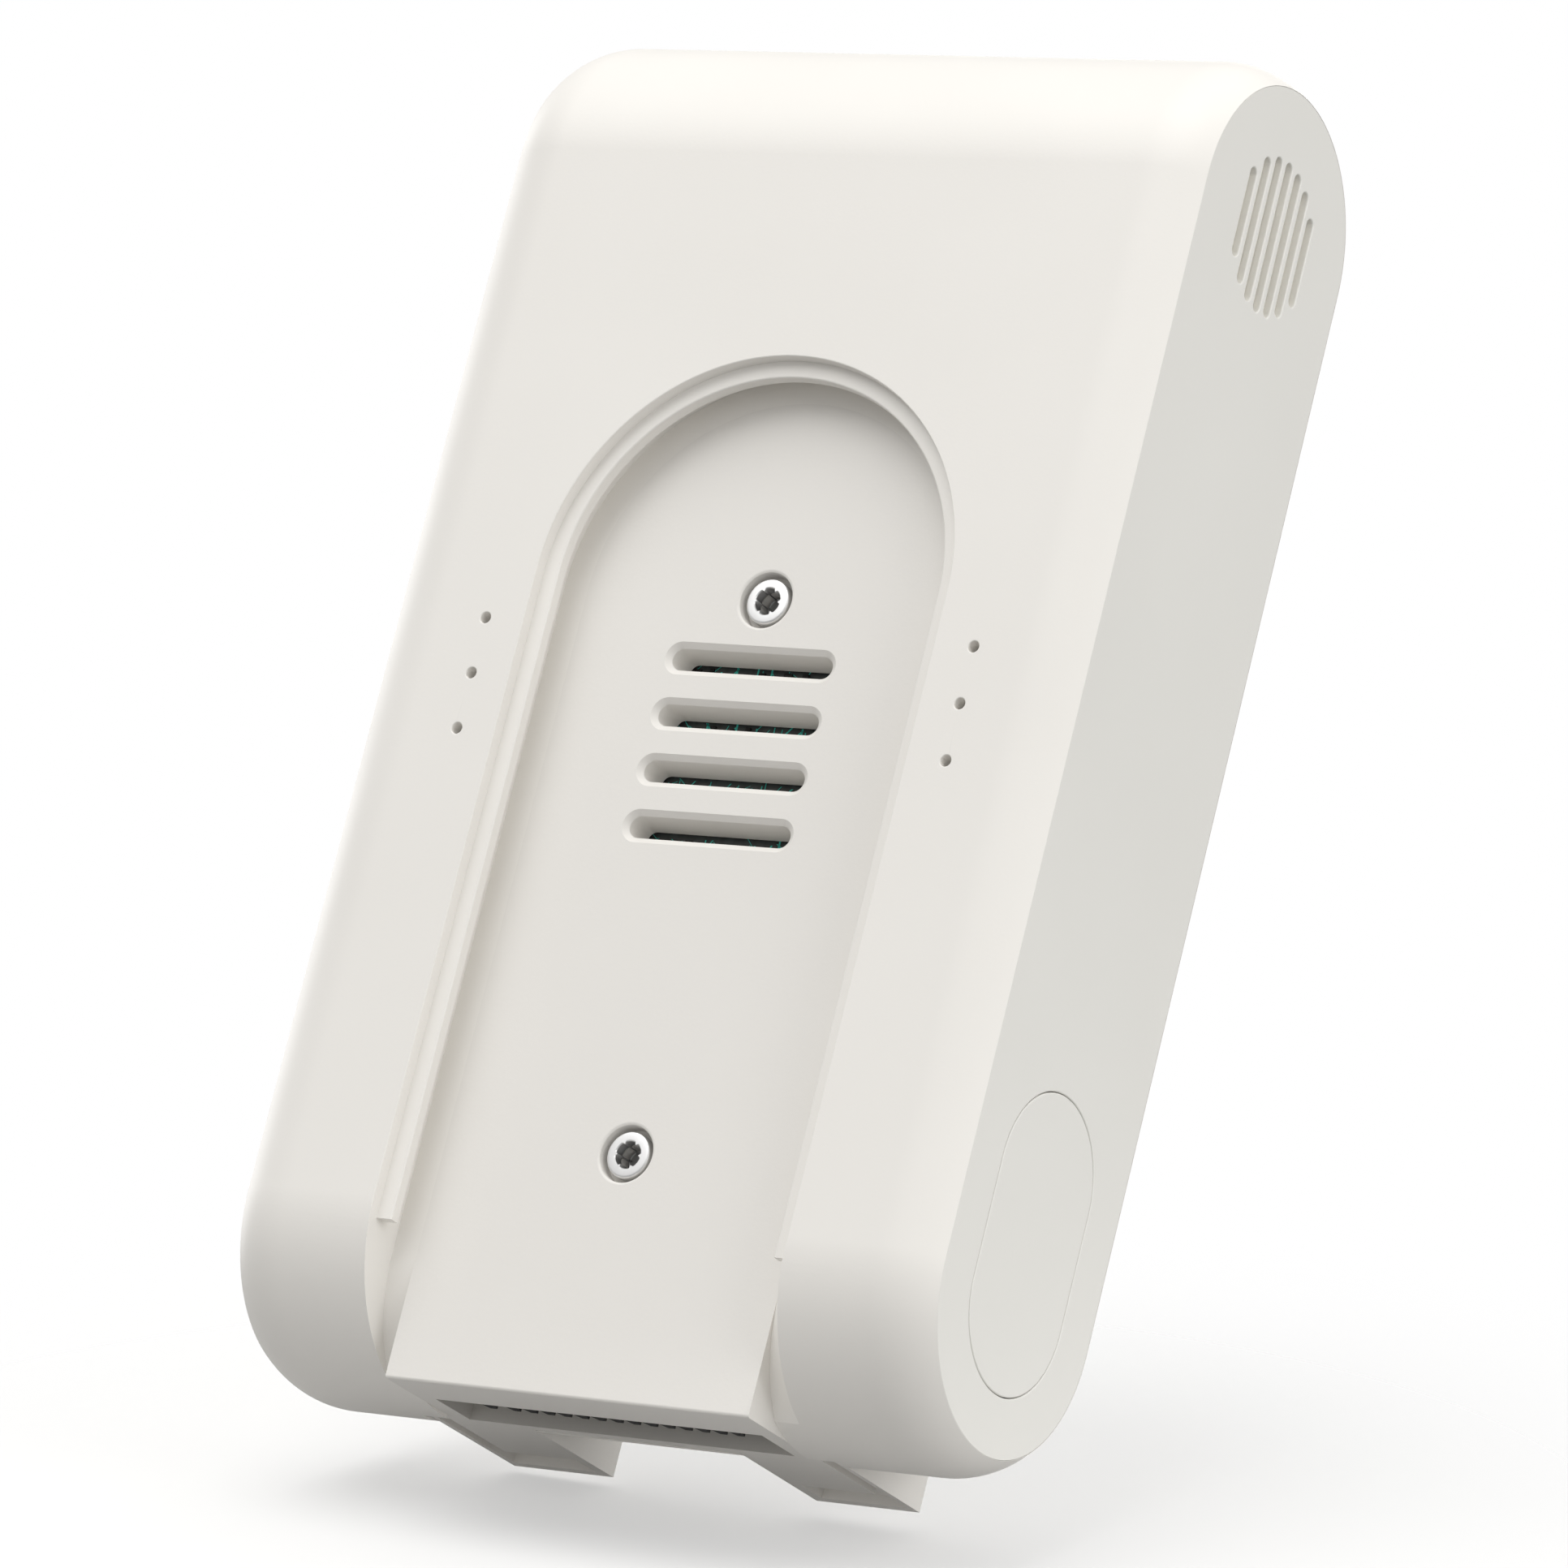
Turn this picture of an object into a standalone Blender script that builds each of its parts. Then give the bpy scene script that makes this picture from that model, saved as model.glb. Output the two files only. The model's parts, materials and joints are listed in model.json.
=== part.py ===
"""Video doorbell: a satin white sleeve with a screwed chassis in its back recess, side caps and a front fascia.

Metres, +Z up, X across, front towards -Y. The origin lies on the recess floor, midway between the two
chassis screws. Lengths below are in millimetres, and body-centred places are moved by BODY_MID.
"""

import math

import bmesh
import bpy
from mathutils import Matrix, Vector

MM = 0.001

# Body sleeve: a stadium in Y-Z, extruded along X.
BODY_WIDTH = 81.0
BODY_DEPTH = 34.4
BODY_LENGTH = 146.8
BODY_RADIUS = BODY_DEPTH / 2
ARC_CENTRE = BODY_LENGTH / 2 - BODY_RADIUS
HALF_WIDTH = BODY_WIDTH / 2
SIDE_INSET = 2.25
SIDE_RUN = 6.2
SIDE_ARC = (SIDE_RUN**2 + SIDE_INSET**2) / (2 * SIDE_INSET)
WALL = 2.55
GAP = 0.3
CAP_THICKNESS = 2.0
ARC_STEPS = 24
FILLET_STEPS = 4
OVERCUT = 1.5
SHARP_ANGLE = 30
BEVEL_ANGLE = 50

# Back recess, its slide rail and the chassis that fills its floor.
FLOOR_DEPTH = 5.53
FLOOR_Y = BODY_RADIUS - FLOOR_DEPTH
SCREW_PITCH = 58.35
UPPER_SCREW_Z = 10.4
LOWER_SCREW_Z = UPPER_SCREW_Z - SCREW_PITCH
ARCH_Z = UPPER_SCREW_Z
CHEEK_HALF = 24.0
LIP_HALF = 22.2
LIP_TOP_Y = 15.85
LIP_UNDER_Y = 14.6
RAIL_END_Z = -58.1
POCKET_WALL = 2.0
TONGUE_HALF = 21.1
PLATE_THICKNESS = 4.2
BOTTOM_Z = -73.04
LOWER_FLOOR_RADIUS = 16.25
LOWER_FLOOR_Y = FLOOR_Y - LOWER_FLOOR_RADIUS
LOWER_FLOOR_Z = -60.4
PINHOLE_X = 28.55
PINHOLE_TOP_Z = 4.8
PINHOLE_PITCH = 5.95
PINHOLE_COUNT = 3
PINHOLE_RADIUS = 0.625

# Chassis details.
VENT_TOP_Z = 3.72
VENT_PITCH = 5.96
VENT_COUNT = 4
VENT_LENGTH = 19.6
VENT_HEIGHT = 3.14
BLOCK_FRONT_Y = -2.75
BLOCK_TOP_Z = -60.5
MOUTH_HALF = 19.0
MOUTH_FRONT_Y = -1.5
MOUTH_BACK_Y = 5.2
MOUTH_DEPTH = 9.0
FOOT_INNER = 12.0
FOOT_OUTER = 23.9
FOOT_REAR_Y = -0.7
FOOT_FRONT_Y = -18.6
FOOT_TOP_Z = -71.5
GROOVE_DEPTH = 1.0
GROOVE_OUTLINE = ((13.3, -17.3), (23.25, -17.3), (23.25, -2.1), (21.75, -2.1), (21.75, -13.1), (13.3, -13.1))

# Chassis screws: pan heads with a six-lobe socket.
HEAD_RADIUS = 2.43
HEAD_TOP = -0.35
HEAD_EDGE = 0.35
COUNTERBORE_RADIUS = 2.95
COUNTERBORE_DEPTH = 1.9
SHANK_RADIUS = 1.25
SHANK_LENGTH = 5.0
SHANK_POINT = 0.6
SOCKET_RADIUS = 1.5
SOCKET_LOBES = 6
SOCKET_WAVE = 0.12
SOCKET_DEPTH = 1.1

# Dock connector: a black strip of tapered fingers, with one finger set apart.
CONTACT_PITCH = 2.0
CONTACT_FIRST_X = 10.1
CONTACT_COUNT = 14
CONTACT_LONE_X = 12.9
CONTACT_ROOT_HALF = 0.75
CONTACT_TIP_HALF = 0.4
CONTACT_HEIGHT = 0.8
CONTACT_STRIP = 0.25
CONTACT_RECESS = 0.05
CONTACT_DEPTH = 7.2
CONNECTOR_LEFT_X = -17.6
CONNECTOR_RIGHT_X = 15.6

# Side caps, and the speaker behind the grille.
GRILLE_Z = 56.0
GRILLE_RADIUS = 8.0
GRILLE_PITCH = 2.15
GRILLE_SLOT = 1.3
GRILLE_SLOTS_EACH_WAY = 3
SCREEN_RADIUS = 9.5
SCREEN_THICKNESS = 0.4
GASKET_OUTER = 10.5
GASKET_INNER = 8.5
GASKET_THICKNESS = 1.0
SPEAKER_RIM = 1.2
SPEAKER_CONE = [(0, 0), (4.0, -0.6), (8.2, 0.8), (10.2, 0.8), (10.2, -1.2)]
SPEAKER_MAGNET = [(8.0, -4.5), (6.0, -4.8), (6.0, -8.0), (0, -8.0)]

# Side button: a plate with a stem, a coil spring round it, and a switch on its own board.
BUTTON_PLATE_RADIUS = 9.1
BUTTON_PLATE_TOP_Z = -43.9
BUTTON_PLATE_LOW_Z = -56.0
BUTTON_PLATE_THICKNESS = 1.6
SIDE_BUTTON_TRAVEL = 0.6
STEM_RADIUS = 1.5
STEM_END = 4.6
SPRING_RADIUS = 2.6
SPRING_WIRE = 0.25
SPRING_PITCH = 0.9
SPRING_TURNS = 3
SPRING_STEPS = 12
SWITCH_HALF = 3.0
SWITCH_DEPTH = 2.0
NUB_RADIUS = 1.2
NUB_LENGTH = 0.6
SIDE_BOARD_HALF_Y = 7.0
SIDE_BOARD_HALF_Z = 9.0
BOARD_THICKNESS = 1.2

# Inner frame and main board.
FRAME_FRONT_Y = 1.0
FRAME_BACK_Y = 2.6
FRAME_HALF_X = 30.0
FRAME_HALF_Z = 50.0
FRAME_MIDDLE_Z = -4.0
FRAME_CORNER = 3.0
BOSS_RADIUS = 3.2
BOSS_HOLE_IN_BOARD = 3.6
BOSS_TOP_Y = FLOOR_Y - PLATE_THICKNESS - GAP
MAIN_BOARD_HALF_X = 20.0
MAIN_BOARD_HALF_Z = 27.0
MAIN_BOARD_CORNER = 1.5
MAIN_BOARD_THICKNESS = 1.6
MAIN_BOARD_BACK_Y = BOSS_TOP_Y - 0.1
SHIELD_CAN = ((-14.0, -22.0), (-1.0, -5.0), 1.6)
PROCESSOR = ((4.0, -20.0), (15.0, -9.0), 1.1)
MEMORY = ((6.0, -5.0), (15.0, 2.0), 1.0)
ANTENNA_LOW = (-19.5, 4.0, 30.0)
ANTENNA_HIGH = (-5.0, 4.6, 40.0)

# Battery pack in front of the frame.
CELL_INNER_X = 0.6
CELL_OUTER_X = 26.6
CELL_FRONT_Y = -10.2
CELL_BACK_Y = -0.4
CELL_LOW_Z = -50.0
CELL_TOP_Z = 14.0
CELL_ROUNDING = 1.0
CRADLE_HALF_X = 28.4
CRADLE_WALL = 1.4
CRADLE_FLOOR = 0.9
CRADLE_FRONT_Y = -11.4
CRADLE_BACK_Y = 0.6
CRADLE_LOW_Z = -52.0
CRADLE_TOP_Z = 16.0
CRADLE_END_WALL = 1.6
PLUG_HALF_X = 6.0
PLUG_FRONT_Y = -3.1
PLUG_LOW_Z = 16.4
PLUG_TOP_Z = 21.0

# Membrane and microphone behind each row of pinholes.
MEMBRANE_RADIUS = 2.0
MEMBRANE_THICKNESS = 0.6
MICROPHONE_HALF_X = 1.5
MICROPHONE_HALF_Z = 2.0
MICROPHONE_FRONT = 2.0
MICROPHONE_BACK = 0.9

# Front fascia and the opening behind it.
FASCIA_FRONT_Y = -18.6
FASCIA_HALF = 23.9
FASCIA_TOP_Z = 57.5
FASCIA_LOW_Z = -57.0
FASCIA_CORNER = 5.0
FASCIA_MIDDLE = (FASCIA_TOP_Z + FASCIA_LOW_Z) / 2
FASCIA_TALL_HALF = (FASCIA_TOP_Z - FASCIA_LOW_Z) / 2
WINDOW_HALF = 20.0
WINDOW_INSET = 4.0
WINDOW_CORNER = 4.0
SPIGOT_DEPTH = 2.2

# Camera.
CAMERA_Z = 38.0
PANE_HALF_X = 17.0
PANE_HALF_Z = 13.0
PANE_CORNER = 12.0
PANE_SINK = 0.2
PANE_BACK = 1.6
LENS_HOLE_RADIUS = 6.4
BARREL_PROFILE = [(5.6, 1.3), (6.0, 1.3), (6.0, -7.0), (3.0, -7.0), (3.0, -3.0), (5.2, -0.8), (5.6, 1.3)]
BARREL_LENGTH = 7.0
LENS_PROFILE = [(0, 1.2), (2.2, 0.9), (3.8, 0.1), (4.6, -0.9), (2.2, -2.6), (0, -2.6)]
HOLDER_HALF = 8.0
HOLDER_CORNER = 1.5
HOLDER_HOLE = 3.2
HOLDER_DEPTH = 2.5
SENSOR_BOARD_HALF = 9.0
INFRARED_HALF_X = 15.0
INFRARED_HALF_Z = 11.5
INFRARED_CORNER = 10.0
INFRARED_HOLE = 6.6
INFRARED_SINK = 2.0
INFRARED_THICKNESS = 1.0

# Motion sensor and its lens.
MOTION_Z = 12.0
MOTION_HALF_X = 9.0
MOTION_HALF_Z = 4.5
MOTION_CORNER = 4.2
MOTION_DEPTH = 1.6
MOTION_SENSOR_RADIUS = 3.9
MOTION_SENSOR_FRONT = 3.0
MOTION_SENSOR_BACK = 5.6

# Bell button.
BELL_Z = -30.0
BELL_RADIUS = 12.0
BELL_TRAVEL = 0.8
RING_WIDTH = 2.2
RING_FRONT = 0.1
RING_BACK = 2.6
BELL_FACE = [(0, -0.8), (8.0, -0.5), (11.2, -0.05), (11.7, -0.2), (BELL_RADIUS, -0.6)]
BELL_STEM_RADIUS = 1.6
BELL_BACK = 2.0
BELL_STEM_END = 3.0
DOME_PROFILE = [(0, 0), (1.8, -0.1), (3.4, -1.0), (4.4, -1.1), (4.4, -1.6), (0, -1.6)]
DOME_HEIGHT = 1.6
BUTTON_BOARD_HALF = 13.0
BUTTON_BOARD_THICKNESS = 1.0

# The body's centre seen from the origin.
BODY_MID = Vector((0, -FLOOR_Y, -(UPPER_SCREW_Z + LOWER_SCREW_Z) / 2))

QUARTER = math.pi / 2
FACING = {"-Y": (QUARTER, 0, 0), "+Y": (-QUARTER, 0, 0), "-X": (0, -QUARTER, 0)}
TURNS = {
    "X": Matrix(((0, 0, 1), (1, 0, 0), (0, 1, 0))),
    "Y": Matrix(((1, 0, 0), (0, 0, -1), (0, 1, 0))),
    "Z": Matrix.Identity(3),
}


def clear_scene():
    for obj in list(bpy.data.objects):
        bpy.data.objects.remove(obj)


def collection(name, hidden=False):
    made = bpy.data.collections.new(name)
    made.hide_render = hidden
    bpy.context.scene.collection.children.link(made)
    return made


def place(x, y, z):
    """A body-centred point in millimetres, as world metres."""
    return (Vector((x, y, z)) + BODY_MID) * MM


def material(name, colour, roughness, metallic=0.0):
    made = bpy.data.materials.new(name)
    made.use_nodes = True
    shader = made.node_tree.nodes["Principled BSDF"]
    shader.inputs["Base Color"].default_value = (*colour, 1)
    shader.inputs["Roughness"].default_value = roughness
    shader.inputs["Metallic"].default_value = metallic
    return made


def finish(obj, look=None, cutter=False):
    """Puts an object in its collection, with its material and smooth round faces."""
    home = CUTTERS if cutter else PARTS
    home.objects.link(obj)
    if cutter:
        obj.hide_render = True
        obj.display_type = "WIRE"
        return obj
    obj.data.materials.append(look)
    if obj.type == "MESH":
        obj.data.shade_smooth()
        obj.data.set_sharp_from_angle(angle=math.radians(SHARP_ANGLE))
    return obj


def mesh_object(name, graph, centre):
    mesh = bpy.data.meshes.new(name)
    graph.normal_update()
    graph.to_mesh(mesh)
    graph.free()
    obj = bpy.data.objects.new(name, mesh)
    obj.location = place(*centre)
    return obj


def arc(centre, radius, first, last, steps):
    """Points along an arc, with angles in degrees."""
    turn = [math.radians(first + (last - first) * i / steps) for i in range(steps + 1)]
    return [(centre[0] + radius * math.cos(a), centre[1] + radius * math.sin(a)) for a in turn]


def circle(radius, steps=24):
    return arc((0, 0), radius, 0, 360, steps)[:-1]


def stadium(radius, top, low, steps=ARC_STEPS):
    """An upright slot shape with its arcs centred at the heights top and low."""
    return arc((0, top), radius, 0, 180, steps) + arc((0, low), radius, 180, 360, steps)


def arch(half, foot, steps=ARC_STEPS):
    """A doorway shape: a half circle at ARCH_Z on legs that reach down to foot."""
    return arc((0, ARCH_Z), half, 0, 180, steps) + [(-half, foot), (half, foot)]


def rounded(half_a, half_b, radius, steps=6):
    """A rectangle with round corners."""
    corners = [(1, 1, 0), (-1, 1, 90), (-1, -1, 180), (1, -1, 270)]
    points = []
    for side_a, side_b, first in corners:
        centre = (side_a * (half_a - radius), side_b * (half_b - radius))
        points += arc(centre, radius, first, first + 90, steps)
    return points


def slab(name, outlines, along, start, end, centre=(0, 0, 0), look=None, cutter=False, bevel=0.0):
    """Flat outlines filled and given thickness from start to end. Inner outlines become holes."""
    curve = bpy.data.curves.new(name, "CURVE")
    curve.dimensions = "2D"
    curve.fill_mode = "BOTH"
    curve.extrude = (end - start) / 2 * MM
    for outline in outlines:
        spline = curve.splines.new("POLY")
        spline.points.add(len(outline) - 1)
        for spot, (a, b) in zip(spline.points, outline):
            spot.co = (a * MM, b * MM, 0, 1)
        spline.use_cyclic_u = True
    guide = bpy.data.objects.new(name + "_outline", curve)
    bpy.context.scene.collection.objects.link(guide)
    evaluated = guide.evaluated_get(bpy.context.evaluated_depsgraph_get())
    mesh = bpy.data.meshes.new_from_object(evaluated)
    mesh.name = name
    bpy.data.objects.remove(guide)
    graph = bmesh.new()
    graph.from_mesh(mesh)
    bmesh.ops.remove_doubles(graph, verts=graph.verts, dist=0.001 * MM)
    bmesh.ops.recalc_face_normals(graph, faces=graph.faces)
    graph.to_mesh(mesh)
    graph.free()
    middle = Vector((0, 0, (start + end) / 2 * MM))
    if along == "Y":
        middle = -middle
    mesh.transform(TURNS[along].to_4x4() @ Matrix.Translation(middle))
    obj = bpy.data.objects.new(name, mesh)
    obj.location = place(*centre)
    finish(obj, look, cutter)
    if bevel:
        round_edges(obj, bevel)
    return obj


def round_edges(obj, width, segments=2):
    modifier = obj.modifiers.new("Rounding", "BEVEL")
    modifier.width = width * MM
    modifier.segments = segments
    modifier.limit_method = "ANGLE"
    modifier.angle_limit = math.radians(BEVEL_ANGLE)


def box(name, low, high, look=None, cutter=False, bevel=0.0):
    """A block between two body-centred corners."""
    graph = bmesh.new()
    size = Vector(high) - Vector(low)
    bmesh.ops.create_cube(graph, size=1)
    bmesh.ops.scale(graph, vec=size * MM, verts=graph.verts)
    obj = finish(mesh_object(name, graph, (Vector(low) + Vector(high)) / 2), look, cutter)
    if bevel:
        round_edges(obj, bevel)
    return obj


def cylinder(name, radius, along, start, end, centre, look=None, cutter=False, segments=24):
    """A rod from start to end, measured from centre along its axis."""
    graph = bmesh.new()
    bmesh.ops.create_cone(
        graph,
        cap_ends=True,
        segments=segments,
        radius1=radius * MM,
        radius2=radius * MM,
        depth=(end - start) * MM,
    )
    middle = (start + end) / 2 * MM
    graph.transform(TURNS[along].to_4x4())
    shift = {"X": (middle, 0, 0), "Y": (0, middle, 0), "Z": (0, 0, middle)}[along]
    bmesh.ops.translate(graph, vec=shift, verts=graph.verts)
    return finish(mesh_object(name, graph, centre), look, cutter)


def turned(name, profile, facing, centre, look, steps=24):
    """A profile of (radius, height) from top to bottom, turned about an axis that faces outwards."""
    graph = bmesh.new()
    spots = [graph.verts.new((radius * MM, 0, height * MM)) for radius, height in profile]
    for first, second in zip(spots, spots[1:]):
        graph.edges.new((first, second))
    obj = finish(mesh_object(name, graph, centre), look)
    obj.rotation_euler = FACING[facing]
    screw = obj.modifiers.new("Turning", "SCREW")
    screw.steps = steps
    screw.render_steps = steps
    screw.use_merge_vertices = True
    screw.merge_threshold = 0.00001
    screw.use_smooth_shade = True
    return obj


def loft_x(name, sections, look=None, cutter=False):
    """A solid through stadium sections, each given as (x, radius)."""
    graph = bmesh.new()
    rings = []
    for x, radius in sections:
        outline = stadium(radius, ARC_CENTRE, -ARC_CENTRE)
        rings.append([graph.verts.new((x * MM, y * MM, z * MM)) for y, z in outline])
    for ring, following in zip(rings, rings[1:]):
        for i in range(len(ring)):
            j = (i + 1) % len(ring)
            graph.faces.new((ring[i], ring[j], following[j], following[i]))
    graph.faces.new(rings[0])
    graph.faces.new(rings[-1])
    bmesh.ops.recalc_face_normals(graph, faces=graph.faces)
    return finish(mesh_object(name, graph, (0, 0, 0)), look, cutter)


def combine(obj, other, operation="DIFFERENCE"):
    modifier = obj.modifiers.new(other.name, "BOOLEAN")
    modifier.operation = operation
    modifier.object = other
    modifier.solver = "EXACT"
    return obj


def six_lobe(radius, wave, steps=36):
    """The outline of a six-lobed driver socket."""
    points = []
    for i in range(steps):
        angle = 2 * math.pi * i / steps
        reach = radius * (1 - wave + wave * math.cos(SOCKET_LOBES * angle))
        points.append((reach * math.cos(angle), reach * math.sin(angle)))
    return points


def make_shell():
    """The sleeve: open at both sides, with the recess and its undercut rail in the back."""
    turn = math.asin(SIDE_RUN / SIDE_ARC)
    start = HALF_WIDTH - SIDE_RUN
    right = []
    for i in range(FILLET_STEPS + 1):
        angle = turn * i / FILLET_STEPS
        right.append((start + SIDE_ARC * math.sin(angle), BODY_RADIUS - SIDE_ARC * (1 - math.cos(angle))))
    left = [(-x, radius) for x, radius in reversed(right)]
    shell = loft_x("main_shell", left + right, WHITE)

    cavity = slab(
        "cavity_cutter",
        [stadium(BODY_RADIUS - WALL, ARC_CENTRE, -ARC_CENTRE)],
        "X",
        -HALF_WIDTH - OVERCUT,
        HALF_WIDTH + OVERCUT,
        cutter=True,
    )
    outline = arch(CHEEK_HALF + POCKET_WALL, BOTTOM_Z - OVERCUT)
    pocket = slab("pocket_wall_cutter", [outline], "Y", FLOOR_Y - POCKET_WALL, BODY_RADIUS, cutter=True)
    combine(cavity, pocket)
    combine(shell, cavity)

    foot = RAIL_END_Z - OVERCUT
    layers = [
        ("recess_mouth_cutter", CHEEK_HALF, LIP_TOP_Y, BODY_RADIUS + OVERCUT),
        ("rail_slot_cutter", CHEEK_HALF, FLOOR_Y, LIP_UNDER_Y),
        ("rail_inner_cutter", LIP_HALF, FLOOR_Y, LIP_TOP_Y + OVERCUT),
        ("chassis_window_cutter", TONGUE_HALF + GAP, FLOOR_Y - 2 * POCKET_WALL, LIP_UNDER_Y),
    ]
    for name, half, low, high in layers:
        combine(shell, slab(name, [arch(half, foot)], "Y", low, high, cutter=True))

    # Below the rail the recess opens to its full width and its floor curves down to the body's end.
    floor = arc((LOWER_FLOOR_Y, LOWER_FLOOR_Z), LOWER_FLOOR_RADIUS, 0, -60, 12)
    reach = BODY_RADIUS + OVERCUT
    lower = [(reach, RAIL_END_Z), (FLOOR_Y, RAIL_END_Z)] + floor + [(reach, floor[-1][1])]
    combine(shell, slab("lower_recess_cutter", [lower], "X", -CHEEK_HALF, CHEEK_HALF, cutter=True))

    side = TONGUE_HALF + GAP
    block = box(
        "block_cutter",
        (-side, BLOCK_FRONT_Y - GAP, BOTTOM_Z - OVERCUT),
        (side, FLOOR_Y + OVERCUT, RAIL_END_Z),
        cutter=True,
    )
    combine(shell, block)
    for label, sign in (("left", -1), ("right", 1)):
        ends = sorted((sign * (FOOT_INNER - GAP), sign * (FOOT_OUTER + GAP)))
        notch = box(
            f"foot_notch_cutter_{label}",
            (ends[0], FOOT_FRONT_Y, BOTTOM_Z - OVERCUT),
            (ends[1], FOOT_REAR_Y + GAP, FOOT_TOP_Z + GAP),
            cutter=True,
        )
        combine(shell, notch)
        for i in range(PINHOLE_COUNT):
            hole = cylinder(
                f"pinhole_cutter_{label}_{i}",
                PINHOLE_RADIUS,
                "Y",
                -OVERCUT,
                WALL + OVERCUT,
                (sign * PINHOLE_X, BODY_RADIUS - WALL, PINHOLE_TOP_Z - i * PINHOLE_PITCH),
                cutter=True,
                segments=12,
            )
            combine(shell, hole)

    window = rounded(WINDOW_HALF, FASCIA_TALL_HALF - WINDOW_INSET, WINDOW_CORNER)
    centre = (0, -BODY_RADIUS, FASCIA_MIDDLE)
    combine(shell, slab("window_cutter", [window], "Y", -OVERCUT, WALL + OVERCUT, centre, cutter=True))
    return shell


def side_cap(name, sign, holes):
    """A flush stadium plate inside the sleeve's open end."""
    outline = stadium(BODY_RADIUS - WALL - GAP, ARC_CENTRE, -ARC_CENTRE)
    ends = sorted((sign * (HALF_WIDTH - CAP_THICKNESS), sign * HALF_WIDTH))
    return slab(name, [outline] + holes, "X", *ends, look=WHITE)


def make_side_caps():
    """The grille cap with its speaker, and the plain cap."""
    holes = []
    for k in range(-GRILLE_SLOTS_EACH_WAY, GRILLE_SLOTS_EACH_WAY + 1):
        middle = k * GRILLE_PITCH
        reach = math.sqrt(GRILLE_RADIUS**2 - middle**2) - GRILLE_SLOT / 2
        slot = stadium(GRILLE_SLOT / 2, GRILLE_Z + reach, GRILLE_Z - reach, 6)
        holes.append([(y + middle, z) for y, z in slot])
    holes.append(stadium(BUTTON_PLATE_RADIUS + GAP, BUTTON_PLATE_TOP_Z, BUTTON_PLATE_LOW_Z, 16))
    side_cap("grille_side_cap", -1, holes)
    side_cap("plain_side_cap", 1, [])

    at_grille = (-HALF_WIDTH + CAP_THICKNESS + GAP, 0, GRILLE_Z)
    cylinder("grille_screen", SCREEN_RADIUS, "X", 0, SCREEN_THICKNESS, at_grille, CREAM)
    gasket_start = SCREEN_THICKNESS + GAP
    gasket_end = gasket_start + GASKET_THICKNESS
    ring = [circle(GASKET_OUTER), circle(GASKET_INNER)]
    slab("speaker_gasket", ring, "X", gasket_start, gasket_end, at_grille, FOAM)
    at_speaker = (at_grille[0] + gasket_end + SPEAKER_RIM, 0, GRILLE_Z)
    turned("speaker_driver", SPEAKER_CONE + SPEAKER_MAGNET, "-X", at_speaker, BLACK)


def make_side_button():
    """The racetrack plate is a sprung push plate. Its stem stops short of the switch behind it."""
    middle = (BUTTON_PLATE_TOP_Z + BUTTON_PLATE_LOW_Z) / 2
    half = (BUTTON_PLATE_TOP_Z - BUTTON_PLATE_LOW_Z) / 2
    at_plate = (-HALF_WIDTH, 0, middle)
    outline = stadium(BUTTON_PLATE_RADIUS, half, -half, 16)
    plate = slab("side_button_plate", [outline], "X", 0, BUTTON_PLATE_THICKNESS, at_plate, WHITE)
    stem = cylinder(
        "side_stem_cutter",
        STEM_RADIUS,
        "X",
        BUTTON_PLATE_THICKNESS / 2,
        STEM_END,
        at_plate,
        cutter=True,
        segments=16,
    )
    combine(plate, stem, "UNION")

    coil_start = BUTTON_PLATE_THICKNESS + SIDE_BUTTON_TRAVEL + 2 * SPRING_WIRE
    points = []
    for i in range(SPRING_TURNS * SPRING_STEPS + 1):
        angle = 2 * math.pi * i / SPRING_STEPS
        across = (SPRING_RADIUS * math.cos(angle), SPRING_RADIUS * math.sin(angle))
        points.append((coil_start + SPRING_PITCH * i / SPRING_STEPS, *across))
    wire("side_button_spring", points, SPRING_WIRE, at_plate, STEEL)

    nub_x = STEM_END + SIDE_BUTTON_TRAVEL + GAP
    body_x = -HALF_WIDTH + nub_x + NUB_LENGTH
    low = (body_x, -SWITCH_HALF, middle - SWITCH_HALF)
    high = (body_x + SWITCH_DEPTH, SWITCH_HALF, middle + SWITCH_HALF)
    switch = box("side_button_switch", low, high, BLACK)
    ends = (nub_x, nub_x + 2 * NUB_LENGTH)
    nub = cylinder("switch_nub_cutter", NUB_RADIUS, "X", *ends, at_plate, cutter=True, segments=12)
    combine(switch, nub, "UNION")
    board_x = body_x + SWITCH_DEPTH + GAP
    low = (board_x, -SIDE_BOARD_HALF_Y, middle - SIDE_BOARD_HALF_Z)
    high = (board_x + BOARD_THICKNESS, SIDE_BOARD_HALF_Y, middle + SIDE_BOARD_HALF_Z)
    box("side_button_board", low, high, GREEN)


def wire(name, points, radius, centre, look):
    """A round wire along the points, with closed ends."""
    curve = bpy.data.curves.new(name, "CURVE")
    curve.dimensions = "3D"
    curve.bevel_depth = radius * MM
    curve.bevel_resolution = 1
    curve.use_fill_caps = True
    spline = curve.splines.new("POLY")
    spline.points.add(len(points) - 1)
    for spot, point in zip(spline.points, points):
        spot.co = (*(Vector(point) * MM), 1)
    obj = bpy.data.objects.new(name, curve)
    obj.location = place(*centre)
    return finish(obj, look)


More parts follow.
